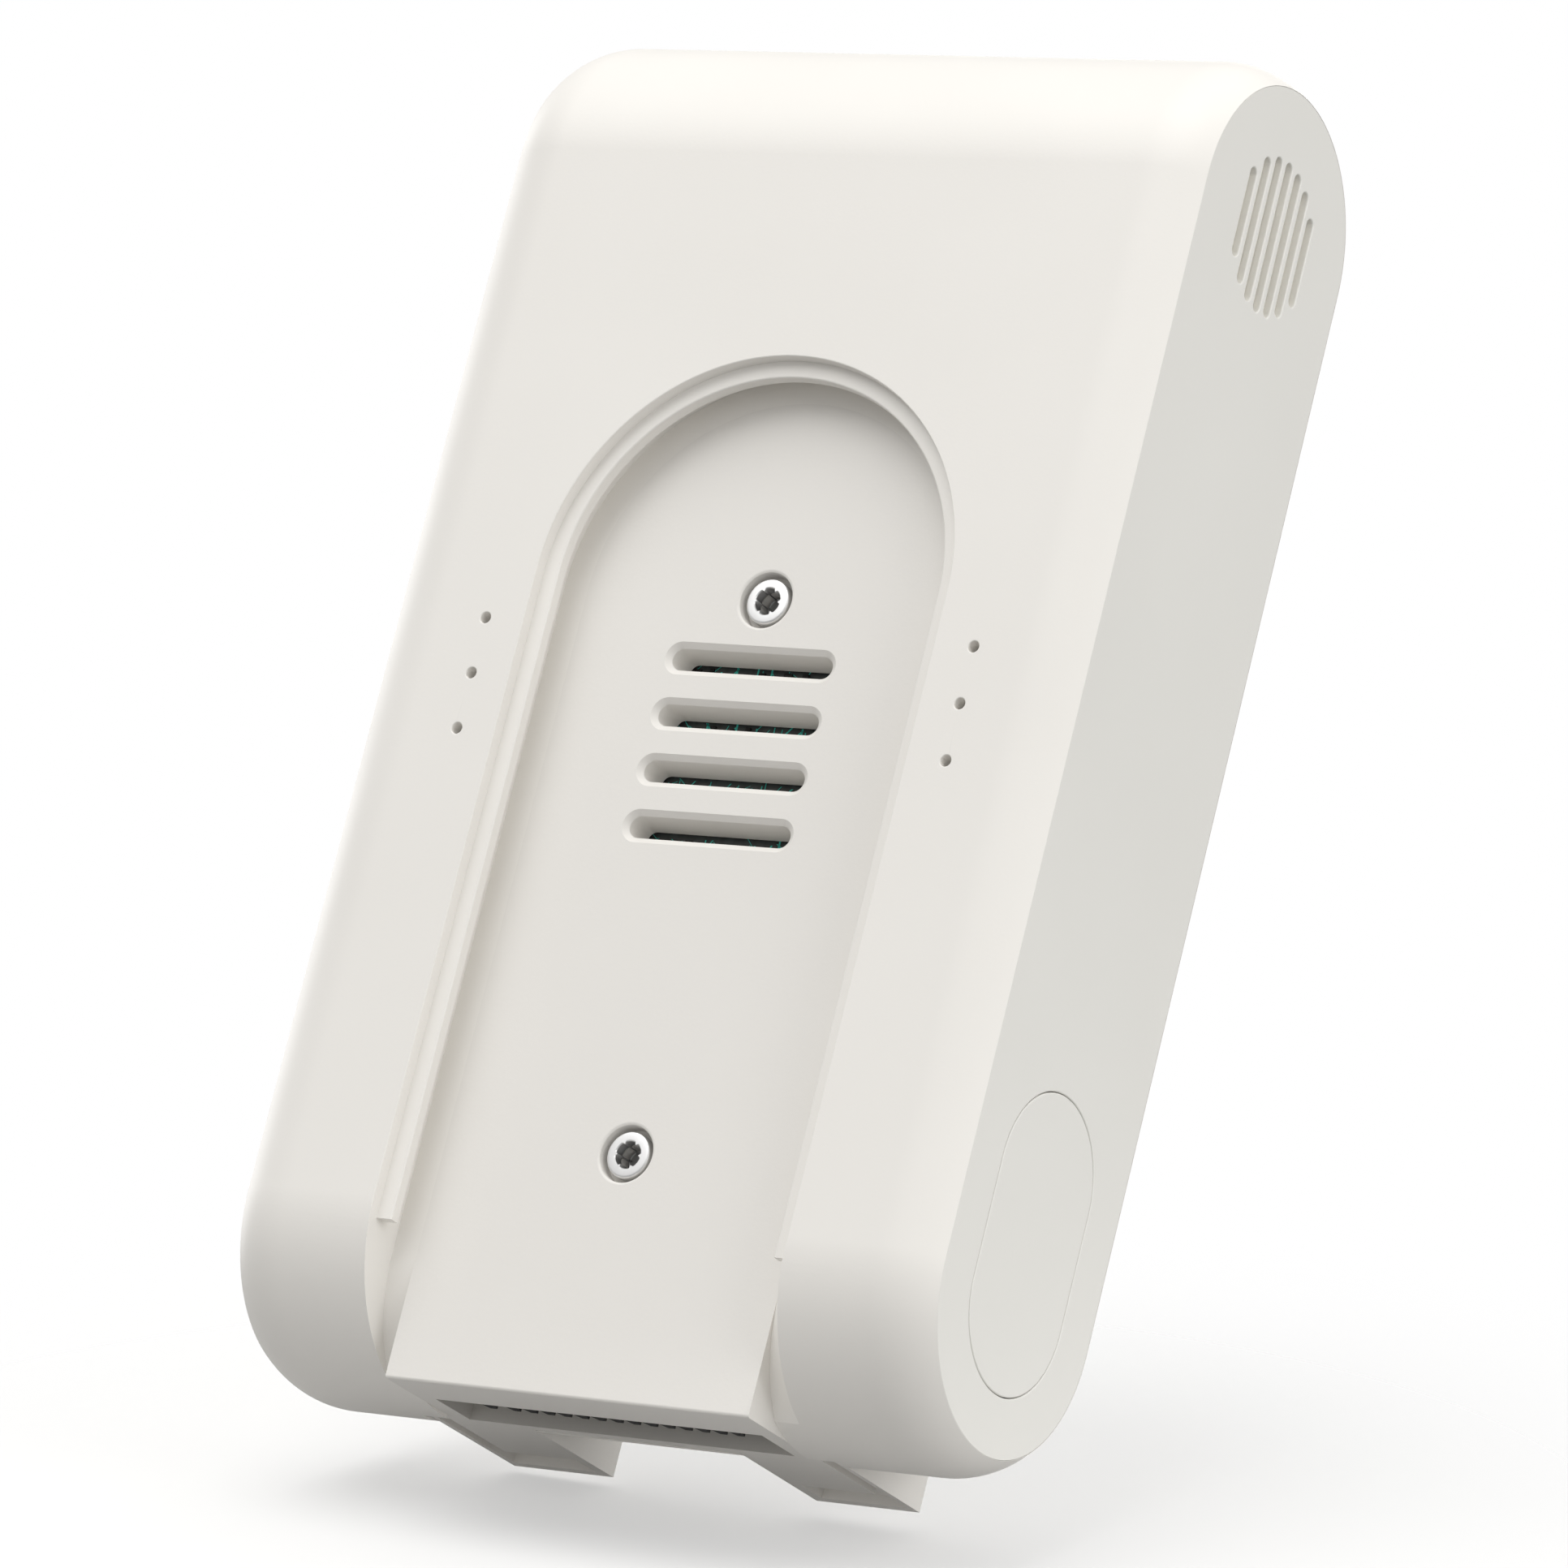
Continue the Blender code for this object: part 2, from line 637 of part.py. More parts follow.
def make_chassis():
    """The plate that is the recess floor, its connector block and the two feet, in one moulding."""
    below = BOTTOM_Z - OVERCUT
    under = FLOOR_Y - PLATE_THICKNESS
    top = ARCH_Z + TONGUE_HALF + OVERCUT
    section = [(FLOOR_Y, below), (FLOOR_Y, top), (under, top), (under, BLOCK_TOP_Z)]
    section += [(BLOCK_FRONT_Y, BLOCK_TOP_Z), (BLOCK_FRONT_Y, below)]
    half = TONGUE_HALF + OVERCUT
    chassis = slab("chassis_sled", [section], "X", -half, half, look=WHITE)
    outline = arch(TONGUE_HALF, below - OVERCUT)
    ends = (BLOCK_FRONT_Y - OVERCUT, FLOOR_Y + OVERCUT)
    combine(chassis, slab("tongue_outline", [outline], "Y", *ends, cutter=True), "INTERSECT")

    for label, sign in (("left", -1), ("right", 1)):
        ends = sorted((sign * FOOT_INNER, sign * FOOT_OUTER))
        combine(chassis, slab(f"foot_{label}", [foot_profile()], "X", *ends, cutter=True), "UNION")
    reach = BODY_DEPTH
    low = (-HALF_WIDTH, -reach, BOTTOM_Z - reach)
    combine(chassis, box("bottom_cutter", low, (HALF_WIDTH, reach, BOTTOM_Z), cutter=True))

    through = -PLATE_THICKNESS - OVERCUT
    for label, z in (("upper", UPPER_SCREW_Z), ("lower", LOWER_SCREW_Z)):
        at = (0, FLOOR_Y, z)
        name = f"screw_hole_{label}"
        combine(chassis, cylinder(name, SHANK_RADIUS + GAP, "Y", through, -1, at, cutter=True, segments=16))
        ends = (-COUNTERBORE_DEPTH, OVERCUT)
        combine(chassis, cylinder(f"counterbore_{label}", COUNTERBORE_RADIUS, "Y", *ends, at, cutter=True))
    for i in range(VENT_COUNT):
        reach = (VENT_LENGTH - VENT_HEIGHT) / 2
        slot = [(b, a) for a, b in stadium(VENT_HEIGHT / 2, reach, -reach, 10)]
        at = (0, FLOOR_Y, VENT_TOP_Z - i * VENT_PITCH)
        combine(chassis, slab(f"vent_cutter_{i}", [slot], "Y", through, OVERCUT, at, cutter=True))

    for label, sign in (("left", -1), ("right", 1)):
        path = [(sign * x, y) for x, y in GROOVE_OUTLINE]
        ends = (BOTTOM_Z - OVERCUT, BOTTOM_Z + GROOVE_DEPTH)
        combine(chassis, slab(f"foot_groove_{label}", [path], "Z", *ends, cutter=True))
    mouth = box(
        "mouth_cutter",
        (-MOUTH_HALF, MOUTH_FRONT_Y, BOTTOM_Z - OVERCUT),
        (MOUTH_HALF, MOUTH_BACK_Y, BOTTOM_Z + MOUTH_DEPTH),
        cutter=True,
    )
    combine(chassis, mouth)
    return chassis


def foot_profile():
    """A foot seen from the side: it hugs the sleeve's end with a gap and stands proud in front of it."""
    radius = BODY_RADIUS + GAP
    first = math.degrees(math.asin((-FOOT_TOP_Z - ARC_CENTRE) / radius))
    hug = arc((0, -ARC_CENTRE), radius, 180 + first, 184, 14)
    low = BOTTOM_Z - OVERCUT / 2
    profile = [(FOOT_REAR_Y, low), (FOOT_REAR_Y, FOOT_TOP_Z)] + hug
    return profile + [(FOOT_FRONT_Y, hug[-1][1]), (FOOT_FRONT_Y, low)]


def make_dock_connector():
    """A black strip with a row of tapered fingers along the mouth's back wall."""
    xs = [CONTACT_LONE_X] + [CONTACT_FIRST_X - i * CONTACT_PITCH for i in range(CONTACT_COUNT)]
    back = MOUTH_BACK_Y - GAP
    root = back - CONTACT_STRIP
    tip = root - CONTACT_HEIGHT
    outline = [
        (CONNECTOR_LEFT_X, root),
        (CONNECTOR_LEFT_X, back),
        (CONNECTOR_RIGHT_X, back),
        (CONNECTOR_RIGHT_X, root),
    ]
    for x in xs:
        outline += [(x + CONTACT_ROOT_HALF, root), (x + CONTACT_TIP_HALF, tip)]
        outline += [(x - CONTACT_TIP_HALF, tip), (x - CONTACT_ROOT_HALF, root)]
    top = BOTTOM_Z + CONTACT_DEPTH
    slab("dock_connector", [outline], "Z", BOTTOM_Z + CONTACT_RECESS, top, look=BLACK)
    low = (CONNECTOR_LEFT_X, MOUTH_FRONT_Y + 2 * GAP, top + GAP)
    high = (-CONNECTOR_LEFT_X, MOUTH_BACK_Y - 2 * GAP, top + GAP + BUTTON_BOARD_THICKNESS)
    box("connector_board", low, high, GREEN)


def chassis_screw(name, height):
    """A pan head with a six-lobe socket, its head sunk in the counterbore."""
    seat = -COUNTERBORE_DEPTH + GAP
    end = seat - SHANK_LENGTH
    profile = [(0, HEAD_TOP), (HEAD_RADIUS - HEAD_EDGE, HEAD_TOP), (HEAD_RADIUS, HEAD_TOP - HEAD_EDGE)]
    profile += [(HEAD_RADIUS, seat), (SHANK_RADIUS, seat), (SHANK_RADIUS, end), (0, end - SHANK_POINT)]
    at = (0, FLOOR_Y, height)
    screw = turned(name, profile, "+Y", at, STEEL)
    outline = six_lobe(SOCKET_RADIUS, SOCKET_WAVE)
    ends = (HEAD_TOP - SOCKET_DEPTH, OVERCUT)
    combine(screw, slab(f"{name}_socket_cutter", [outline], "Y", *ends, at, cutter=True))


def board_part(name, shape, look):
    """A block on the front face of the main board, given as two corners and its height."""
    low, high, rise = shape
    base = MAIN_BOARD_BACK_Y - MAIN_BOARD_THICKNESS - GAP
    box(name, (low[0], base - rise, low[1]), (high[0], base, high[1]), look)


def make_inside():
    """Inner frame, boards, cells and the parts behind the back wall."""
    outline = rounded(FRAME_HALF_X, FRAME_HALF_Z, FRAME_CORNER, 3)
    frame = slab("inner_frame", [outline], "Y", FRAME_FRONT_Y, FRAME_BACK_Y, (0, 0, FRAME_MIDDLE_Z), BLACK)
    for label, z in (("upper", UPPER_SCREW_Z), ("lower", LOWER_SCREW_Z)):
        at = (0, 0, z)
        ends = (FRAME_FRONT_Y + GAP, BOSS_TOP_Y)
        boss = cylinder(f"boss_cutter_{label}", BOSS_RADIUS, "Y", *ends, at, cutter=True, segments=20)
        combine(frame, boss, "UNION")
        ends = (FRAME_FRONT_Y - OVERCUT, BOSS_TOP_Y + OVERCUT)
        bore = SHANK_RADIUS + GAP / 6
        combine(frame, cylinder(f"boss_bore_cutter_{label}", bore, "Y", *ends, at, cutter=True, segments=20))

    hole = [(a, b + UPPER_SCREW_Z) for a, b in circle(BOSS_HOLE_IN_BOARD, 16)]
    board = [rounded(MAIN_BOARD_HALF_X, MAIN_BOARD_HALF_Z, MAIN_BOARD_CORNER, 2), hole]
    slab("main_board", board, "Y", MAIN_BOARD_BACK_Y - MAIN_BOARD_THICKNESS, MAIN_BOARD_BACK_Y, look=GREEN)
    board_part("shield_can", SHIELD_CAN, STEEL)
    board_part("processor_chip", PROCESSOR, BLACK)
    board_part("memory_chip", MEMORY, BLACK)
    box("wifi_antenna", ANTENNA_LOW, ANTENNA_HIGH, COPPER)

    for label, sign in (("left", -1), ("right", 1)):
        ends = sorted((sign * CELL_INNER_X, sign * CELL_OUTER_X))
        low = (ends[0], CELL_FRONT_Y, CELL_LOW_Z)
        high = (ends[1], CELL_BACK_Y, CELL_TOP_Z)
        box(f"battery_cell_{label}", low, high, BLUE, bevel=CELL_ROUNDING)
        x = sign * PINHOLE_X
        y = BODY_RADIUS - WALL - GAP
        z = PINHOLE_TOP_Z - PINHOLE_PITCH
        outline = stadium(MEMBRANE_RADIUS, PINHOLE_PITCH, -PINHOLE_PITCH, 8)
        slab(f"vent_membrane_{label}", [outline], "Y", -MEMBRANE_THICKNESS, 0, (x, y, z), FOAM)
        low = (x - MICROPHONE_HALF_X, y - MICROPHONE_FRONT, z - MICROPHONE_HALF_Z)
        high = (x + MICROPHONE_HALF_X, y - MICROPHONE_BACK, z + MICROPHONE_HALF_Z)
        box(f"microphone_{label}", low, high, STEEL)

    low = (-CRADLE_HALF_X, CRADLE_FRONT_Y, CRADLE_LOW_Z)
    tray = box("battery_cradle", low, (CRADLE_HALF_X, CRADLE_BACK_Y, CRADLE_TOP_Z), BLACK)
    half = CRADLE_HALF_X - CRADLE_WALL
    low = (-half, CRADLE_FRONT_Y + CRADLE_FLOOR, CRADLE_LOW_Z + CRADLE_END_WALL)
    high = (half, CRADLE_BACK_Y + OVERCUT, CRADLE_TOP_Z - CRADLE_END_WALL)
    combine(tray, box("cradle_cutter", low, high, cutter=True))
    low = (-PLUG_HALF_X, PLUG_FRONT_Y, PLUG_LOW_Z)
    box("battery_lead_plug", low, (PLUG_HALF_X, CRADLE_BACK_Y, PLUG_TOP_Z), WHITE)


def make_fascia():
    """The front plate and the spigot that seats it in the sleeve's opening."""
    centre = (0, 0, FASCIA_MIDDLE)
    camera_hole = rounded(PANE_HALF_X + GAP, PANE_HALF_Z + GAP, PANE_CORNER + GAP)
    motion_hole = rounded(MOTION_HALF_X + GAP, MOTION_HALF_Z + GAP, MOTION_CORNER + GAP)
    bell_hole = circle(BELL_RADIUS + RING_WIDTH + GAP, 32)
    holes = []
    for hole, height in ((camera_hole, CAMERA_Z), (motion_hole, MOTION_Z), (bell_hole, BELL_Z)):
        holes.append([(a, b + height - FASCIA_MIDDLE) for a, b in hole])
    outlines = [rounded(FASCIA_HALF, FASCIA_TALL_HALF, FASCIA_CORNER)] + holes
    fascia = slab("front_fascia", outlines, "Y", FASCIA_FRONT_Y, -BODY_RADIUS - GAP, centre, WHITE)
    half = FASCIA_TALL_HALF - WINDOW_INSET - GAP
    outlines = [rounded(WINDOW_HALF - GAP, half, WINDOW_CORNER)] + holes
    ends = (-BODY_RADIUS - 2 * GAP, -BODY_RADIUS + SPIGOT_DEPTH)
    combine(fascia, slab("fascia_spigot_cutter", outlines, "Y", *ends, centre, cutter=True), "UNION")


def make_camera():
    """The dark window, the lens in its barrel, the holder and the two boards behind them."""
    at_camera = (0, 0, CAMERA_Z)
    pane = [rounded(PANE_HALF_X, PANE_HALF_Z, PANE_CORNER), circle(LENS_HOLE_RADIUS, 32)]
    ends = (FASCIA_FRONT_Y + PANE_SINK, FASCIA_FRONT_Y + PANE_BACK)
    slab("camera_window", pane, "Y", *ends, at_camera, GLASS)
    lens_y = FASCIA_FRONT_Y + PANE_BACK + GAP
    turned("camera_lens_barrel", BARREL_PROFILE, "-Y", (0, lens_y, CAMERA_Z), BLACK)
    turned("camera_front_lens", LENS_PROFILE, "-Y", (0, lens_y, CAMERA_Z), GLASS)

    holder = [rounded(HOLDER_HALF, HOLDER_HALF, HOLDER_CORNER, 2), circle(HOLDER_HOLE, 20)]
    holder_y = lens_y + BARREL_LENGTH + GAP
    slab("camera_holder", holder, "Y", holder_y, holder_y + HOLDER_DEPTH, at_camera, BLACK)
    sensor_y = holder_y + HOLDER_DEPTH + GAP
    low = (-SENSOR_BOARD_HALF, sensor_y, CAMERA_Z - SENSOR_BOARD_HALF)
    high = (SENSOR_BOARD_HALF, sensor_y + BOARD_THICKNESS, CAMERA_Z + SENSOR_BOARD_HALF)
    box("image_sensor_board", low, high, GREEN)
    ring = [rounded(INFRARED_HALF_X, INFRARED_HALF_Z, INFRARED_CORNER, 5), circle(INFRARED_HOLE, 24)]
    ring_y = lens_y + INFRARED_SINK
    slab("infrared_led_board", ring, "Y", ring_y, ring_y + INFRARED_THICKNESS, at_camera, GREEN)


def make_motion_sensor():
    """The milky lens and the sensor can behind it."""
    at_motion = (0, FASCIA_FRONT_Y, MOTION_Z)
    outline = rounded(MOTION_HALF_X, MOTION_HALF_Z, MOTION_CORNER, 5)
    slab("motion_sensor_lens", [outline], "Y", 0, MOTION_DEPTH, at_motion, MILKY)
    ends = (MOTION_SENSOR_FRONT, MOTION_SENSOR_BACK)
    cylinder("motion_sensor", MOTION_SENSOR_RADIUS, "Y", *ends, at_motion, STEEL, segments=20)


def make_bell_button():
    """The light ring, the cap that moves inside it, and the dome and board that it presses on."""
    at_bell = (0, FASCIA_FRONT_Y, BELL_Z)
    ring = [circle(BELL_RADIUS + RING_WIDTH, 32), circle(BELL_RADIUS + GAP, 32)]
    slab("bell_light_ring", ring, "Y", RING_FRONT, RING_BACK, at_bell, MILKY)
    back = [(BELL_RADIUS, -BELL_BACK), (BELL_STEM_RADIUS, -BELL_BACK)]
    back += [(BELL_STEM_RADIUS, -BELL_STEM_END), (0, -BELL_STEM_END)]
    turned("bell_button_cap", BELL_FACE + back, "-Y", at_bell, WHITE, 32)
    dome_y = FASCIA_FRONT_Y + BELL_STEM_END + BELL_TRAVEL + GAP
    turned("bell_button_dome", DOME_PROFILE, "-Y", (0, dome_y, BELL_Z), BLACK)
    board_y = dome_y + DOME_HEIGHT + GAP
    low = (-BUTTON_BOARD_HALF, board_y, BELL_Z - BUTTON_BOARD_HALF)
    high = (BUTTON_BOARD_HALF, board_y + BUTTON_BOARD_THICKNESS, BELL_Z + BUTTON_BOARD_HALF)
    box("button_board", low, high, GREEN)


clear_scene()
PARTS = collection("video_doorbell")
CUTTERS = collection("cutters", hidden=True)

WHITE = material("white_plastic", (0.80, 0.78, 0.74), 0.45)
CREAM = material("cream_mesh", (0.70, 0.66, 0.56), 0.7)
BLACK = material("black_plastic", (0.02, 0.02, 0.02), 0.5)
FOAM = material("black_foam", (0.03, 0.03, 0.03), 0.9)
STEEL = material("steel", (0.55, 0.54, 0.52), 0.3, 1.0)
COPPER = material("copper_foil", (0.72, 0.42, 0.28), 0.35, 1.0)
GREEN = material("circuit_board", (0.02, 0.12, 0.09), 0.45)
GLASS = material("dark_glass", (0.01, 0.01, 0.012), 0.08)
MILKY = material("milky_plastic", (0.75, 0.76, 0.74), 0.35)
BLUE = material("cell_wrap", (0.10, 0.22, 0.45), 0.4)

make_shell()
make_chassis()
make_side_caps()
make_side_button()
make_dock_connector()
chassis_screw("chassis_screw_upper", UPPER_SCREW_Z)
chassis_screw("chassis_screw_lower", LOWER_SCREW_Z)
make_inside()
make_fascia()
make_camera()
make_motion_sensor()
make_bell_button()
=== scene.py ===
"""Video doorbell: the fine visible surfaces, materials, floor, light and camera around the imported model.

Places are body-centred millimetres, worked out from the main shell's box: X across, +Y to the back, +Z up.
"""

import json
import math
import random

import bmesh
import bpy
from mathutils import Matrix, Vector


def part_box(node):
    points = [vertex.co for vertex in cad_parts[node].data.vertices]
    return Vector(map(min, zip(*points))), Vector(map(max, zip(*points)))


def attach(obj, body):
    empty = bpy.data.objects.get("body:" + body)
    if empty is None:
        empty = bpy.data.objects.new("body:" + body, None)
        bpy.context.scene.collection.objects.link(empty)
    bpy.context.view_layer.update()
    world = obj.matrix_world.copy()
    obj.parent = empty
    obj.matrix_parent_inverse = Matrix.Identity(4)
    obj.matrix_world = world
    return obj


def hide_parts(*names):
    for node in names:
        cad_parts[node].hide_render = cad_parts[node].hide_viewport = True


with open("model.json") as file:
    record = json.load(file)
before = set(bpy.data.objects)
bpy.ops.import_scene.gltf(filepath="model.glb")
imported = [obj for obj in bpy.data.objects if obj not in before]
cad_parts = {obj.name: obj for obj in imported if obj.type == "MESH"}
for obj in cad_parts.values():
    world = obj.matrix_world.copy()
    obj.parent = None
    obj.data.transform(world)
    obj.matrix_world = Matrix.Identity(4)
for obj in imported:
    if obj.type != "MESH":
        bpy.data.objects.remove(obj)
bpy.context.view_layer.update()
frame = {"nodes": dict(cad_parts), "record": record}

MM = 0.001
SHELL_LOW, SHELL_HIGH = (Vector(corner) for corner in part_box("main_shell"))
MIDDLE = (SHELL_LOW + SHELL_HIGH) / 2
WIDTH, DEPTH, LENGTH = (SHELL_HIGH - SHELL_LOW) / MM
RADIUS = DEPTH / 2
ARC_CENTRE = LENGTH / 2 - RADIUS
HALF_WIDTH = WIDTH / 2

# The sleeve's side edge and wall.
SIDE_INSET = 2.25
SIDE_RUN = 6.2
SIDE_ARC = (SIDE_RUN**2 + SIDE_INSET**2) / (2 * SIDE_INSET)
SIDE_RADIUS = RADIUS - SIDE_INSET
WALL = 2.55
OVERCUT = 1.5
CLEAR = 1.0
FINE = 64

# The recess and its rail. A listed edge is a row of steps from the inside out, each with how far the cut
# has grown and its depth under the surface.
FLOOR_Y = RADIUS - 5.53
ARCH_Z = 10.4
CHEEK = 23.95
LIP = 22.2
LIP_TOP_Y = 15.85
LIP_UNDER_Y = 14.6
LIP_EDGE = 0.2
RECESS_EDGE = ((0.02, 0.2), (0.07, 0.05), (0.15, 0.0), (0.17, -OVERCUT))
RAIL_END_Z = -58.1
POCKET_WALL = 2.0
TONGUE = 21.1
LOWER_CURVE = 16.25
LOWER_CURVE_Z = -60.4
LOWER_CURVE_END = -60
PINHOLE_X = 28.55
PINHOLE_TOP_Z = 4.8
PINHOLE_PITCH = 5.95
PINHOLE_COUNT = 3
PINHOLE_RADIUS = 0.6
PINHOLE_EDGE = 0.12

# The screws, with heights from the recess floor.
UPPER_SCREW_Z = ARCH_Z
LOWER_SCREW_Z = -47.95
HOLE_RADIUS = 1.55
HOLE_DEPTH = 6.0
SEAT_RADIUS = 2.95
SEAT_DEPTH = 1.9
SEAT_EDGE = ((0.0, 0.28), (0.06, 0.12), (0.2, 0.03), (0.34, 0.0), (0.36, -OVERCUT))
HEAD_RADIUS = 2.43
HEAD_ROUND = 0.28
HEAD_TOP = -0.35
HEAD_BOTTOM = -1.6
SHANK_RADIUS = 1.25
SHANK_END = -6.6
TIP_END = -7.2
SOCKET_RADIUS = 1.42
SOCKET_DEPTH = 2.4
LOBE_DEPTH = 0.2
LOBE_SHARPNESS = 12

# The chassis. The trim's reach is across, to front and back, and down.
VENT_TOP_Z = 3.72
VENT_PITCH = 5.96
VENT_COUNT = 4
VENT_LENGTH = 19.6
VENT_HEIGHT = 3.14
VENT_RIM = 0.42
VENT_SINK = 0.45
VENT_LEDGE = 0.08
VENT_DRAFT = 0.17
VENT_EDGE = ((0.1, 0.08), (0.16, 0.03), (0.2, 0.0), (0.22, -OVERCUT))
PLATE = 4.2
BOTTOM_Z = (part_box("chassis_sled")[0][2] - MIDDLE.z) / MM
BLOCK_FRONT_Y = -2.75
BLOCK_TOP_Z = -60.5
BLOCK_EDGE = 0.3
MOUTH_HALF = 19.0
MOUTH_FRONT_Y = -1.5
MOUTH_BACK_Y = 5.2
MOUTH_DEPTH = 9.0
FOOT_INNER = 12.0
FOOT_OUTER = 23.9
FOOT_REAR_Y = -0.7
FOOT_FRONT_Y = -18.6
FOOT_TOP_Z = -71.5
FOOT_EDGE = 0.25
FOOT_HUG_END = 184
TRIM_REACH = (40, 30, 20)
GROOVE_INNER_X = 13.3
GROOVE_ARM_X = 21.75
GROOVE_OUTER_X = 23.25
GROOVE_FRONT_Y = -17.3
GROOVE_ARM_Y = -13.1
GROOVE_REAR_Y = -2.1
GROOVE_DEPTH = 1.0

# Spaces between pieces, from a free fit to two faces that must not coincide.
GAP = 0.3
SEAM = 0.12
HAIRLINE = 0.03
FLUSH = 0.004

# The dock connector's comb, on the mouth's rear wall, with heights above the block's bottom.
FINGER_COUNT = 14
FINGER_PITCH = 2.0
FINGER_FIRST_X = 10.1
FINGER_APART_X = 12.9
FINGER_ROOT = 0.75
FINGER_WIDE = 0.45
FINGER_TIP = 0.37
FINGER_REACH = 1.3
FINGER_BACK_Y = MOUTH_BACK_Y - 0.05
FINGER_LOW = 0.03
FINGER_HIGH = 7.0
COMB_LEFT_X = -17.6
COMB_RIGHT_X = 15.6
COMB_THICKNESS = 0.5
COMB_LOW = 1.8
COMB_HIGH = 7.2

# The side caps, with depths under their faces. The mesh lies behind the grille, with a pad in each slot.
CAP_DEPTH = 2.0
CAP_SEAT_DEPTH = 2.1
CAP_EDGE = 0.04
CAP_CUT = 3.0
GRILLE_Z = 56.0
GRILLE_RADIUS = 8.0
GRILLE_PITCH = 2.15
GRILLE_SLOT = 1.3
GRILLE_EDGE = 0.18
GRILLE_EACH_SIDE = 3
MESH_RIM = 1.3
MESH_FRONT = 2.15
MESH_BACK = 2.7
PAD_FRONT = 0.75
PAD_BACK = 2.4
PAD_GAP = 0.04
PAD_ROUND = 0.1
PAD_RISE = 0.12
PLATE_RADIUS = 9.1
PLATE_TOP_Z = -43.9
PLATE_LOW_Z = -56.0
PLATE_GAP = 0.05
PLATE_EDGE = 0.15
PLATE_DEPTH = 1.6
STEM_RADIUS = 1.5
STEM_START = 1.0
STEM_LENGTH = 3.6
STEM_ROUND = 0.3

# The board seen through the vents.
BOARD_INSET = 0.05
BOARD_CORNER = 1.5
BOSS_HOLE = 3.6
TRACE_START = -9.6
TRACE_END = 9.4
TRACE_HEIGHT = 0.035
CHIP_CHANCE = 0.25
CHIP_HEIGHT = 0.25
CHIP_EDGE = 0.05
SUNK = 0.01

# The front. A pane or lens is (half width, half height, corner radius), and a way is the hole around it.
FASCIA_Y = -18.6
FASCIA_HALF = 23.9
FASCIA_TOP_Z = 57.5
FASCIA_LOW_Z = -57.0
FASCIA_REACH = (FASCIA_TOP_Z - FASCIA_LOW_Z) / 2
FASCIA_Z = (FASCIA_TOP_Z + FASCIA_LOW_Z) / 2
FASCIA_CORNER = 5
FASCIA_EDGE = 0.5
SPIGOT_START = 0.6
SPIGOT_LENGTH = 2.2
WINDOW_HALF = 20.0
WINDOW_CORNER = 4.0
WAY_DEPTH = 4.0
WAY_GAP = 0.06
WAY_EDGE = 0.25
CAMERA_Z = 38.0
CAMERA_PANE = (17.0, 13.0, 12.0)
PANE_SUNK = 0.2
PANE_DEPTH = 1.6
PANE_EDGE = 0.15
LENS_WAY = 6.3
LENS_SUNK = 1.9
MOTION_Z = 12.0
MOTION_LENS = (9.0, 4.5, 4.2)
MOTION_EDGE = 0.2
MOTION_CROWN = ((-0.9, 0.02), (-0.4, 0.1), (-0.1, 0.3), (0, 0.6), (0, 1.6))
FACET_PITCH = 2.4
FACET_RADIUS = 1.18
FACETS_EACH_SIDE = 3
BELL_Z = -30.0
BELL_RADIUS = 12.0
BELL_ROUND = 0.8
RING_INNER = BELL_RADIUS + 0.2
RING_OUTER = BELL_RADIUS + 2.18
RING_WAY = RING_OUTER + 0.08
RING_TOP = -0.12
RING_SHOULDER = -0.35
RING_BOTTOM = -2.6

TURNS = {
    "X": Matrix(((0, 0, 1), (1, 0, 0), (0, 1, 0))),
    "Y": Matrix(((1, 0, 0), (0, 0, 1), (0, 1, 0))),
    "Z": Matrix.Identity(3),
}


# ---------------------------------------------------------------- outlines


def arc(centre, radius, first, last, steps):
    """Points along an arc, with angles in degrees."""
    turns = [math.radians(first + (last - first) * i / steps) for i in range(steps + 1)]
    return [(centre[0] + radius * math.cos(a), centre[1] + radius * math.sin(a)) for a in turns]


def circle(radius, steps=48):
    """A circle about the axis."""
    return lambda grow=0.0: arc((0, 0), radius + grow, 0, 360, steps)[:-1]


def stadium(radius, top, low, steps=FINE, shift=0.0):
    """An upright slot shape, whose arcs are centred at the heights top and low."""
    return lambda grow=0.0: arc((shift, top), radius + grow, 0, 180, steps) + arc(
        (shift, low), radius + grow, 180, 360, steps
    )


def bar(radius, reach, height, steps=16):
    """A level slot shape centred at that height."""
    return lambda grow=0.0: arc((reach, height), radius + grow, -90, 90, steps) + arc(
        (-reach, height), radius + grow, 90, 270, steps
    )


def arch(half, foot):
    """A doorway shape: a half circle on legs that reach down to foot."""

    def outline(grow=0.0):
        legs = [(-half - grow, foot), (half + grow, foot)]
        return arc((0, ARCH_Z), half + grow, 0, 180, FINE) + legs

    return outline


def fixed(points):
    """An outline that doesn't grow."""
    return lambda grow=0.0: points


def rounded(half_a, half_b, radius, steps=10, rise=0.0):
    """A rectangle with round corners."""

    def outline(grow=0.0):
        points = []
        for side_a, side_b, first in ((1, 1, 0), (-1, 1, 90), (-1, -1, 180), (1, -1, 270)):
            centre = (side_a * (half_a - radius), side_b * (half_b - radius) + rise)
            points += arc(centre, radius + grow, first, first + 90, steps)
        return points

    return outline


# ---------------------------------------------------------------- solids


def settle(graph, name):
    """The working mesh as an object in the row frame."""
    bmesh.ops.recalc_face_normals(graph, faces=graph.faces)
    mesh = bpy.data.meshes.new(name)
    graph.to_mesh(mesh)
    graph.free()
    mesh.transform(Matrix.Translation(MIDDLE) @ Matrix.Scale(MM, 4))
    obj = bpy.data.objects.new(name, mesh)
    bpy.context.scene.collection.objects.link(obj)
    return obj


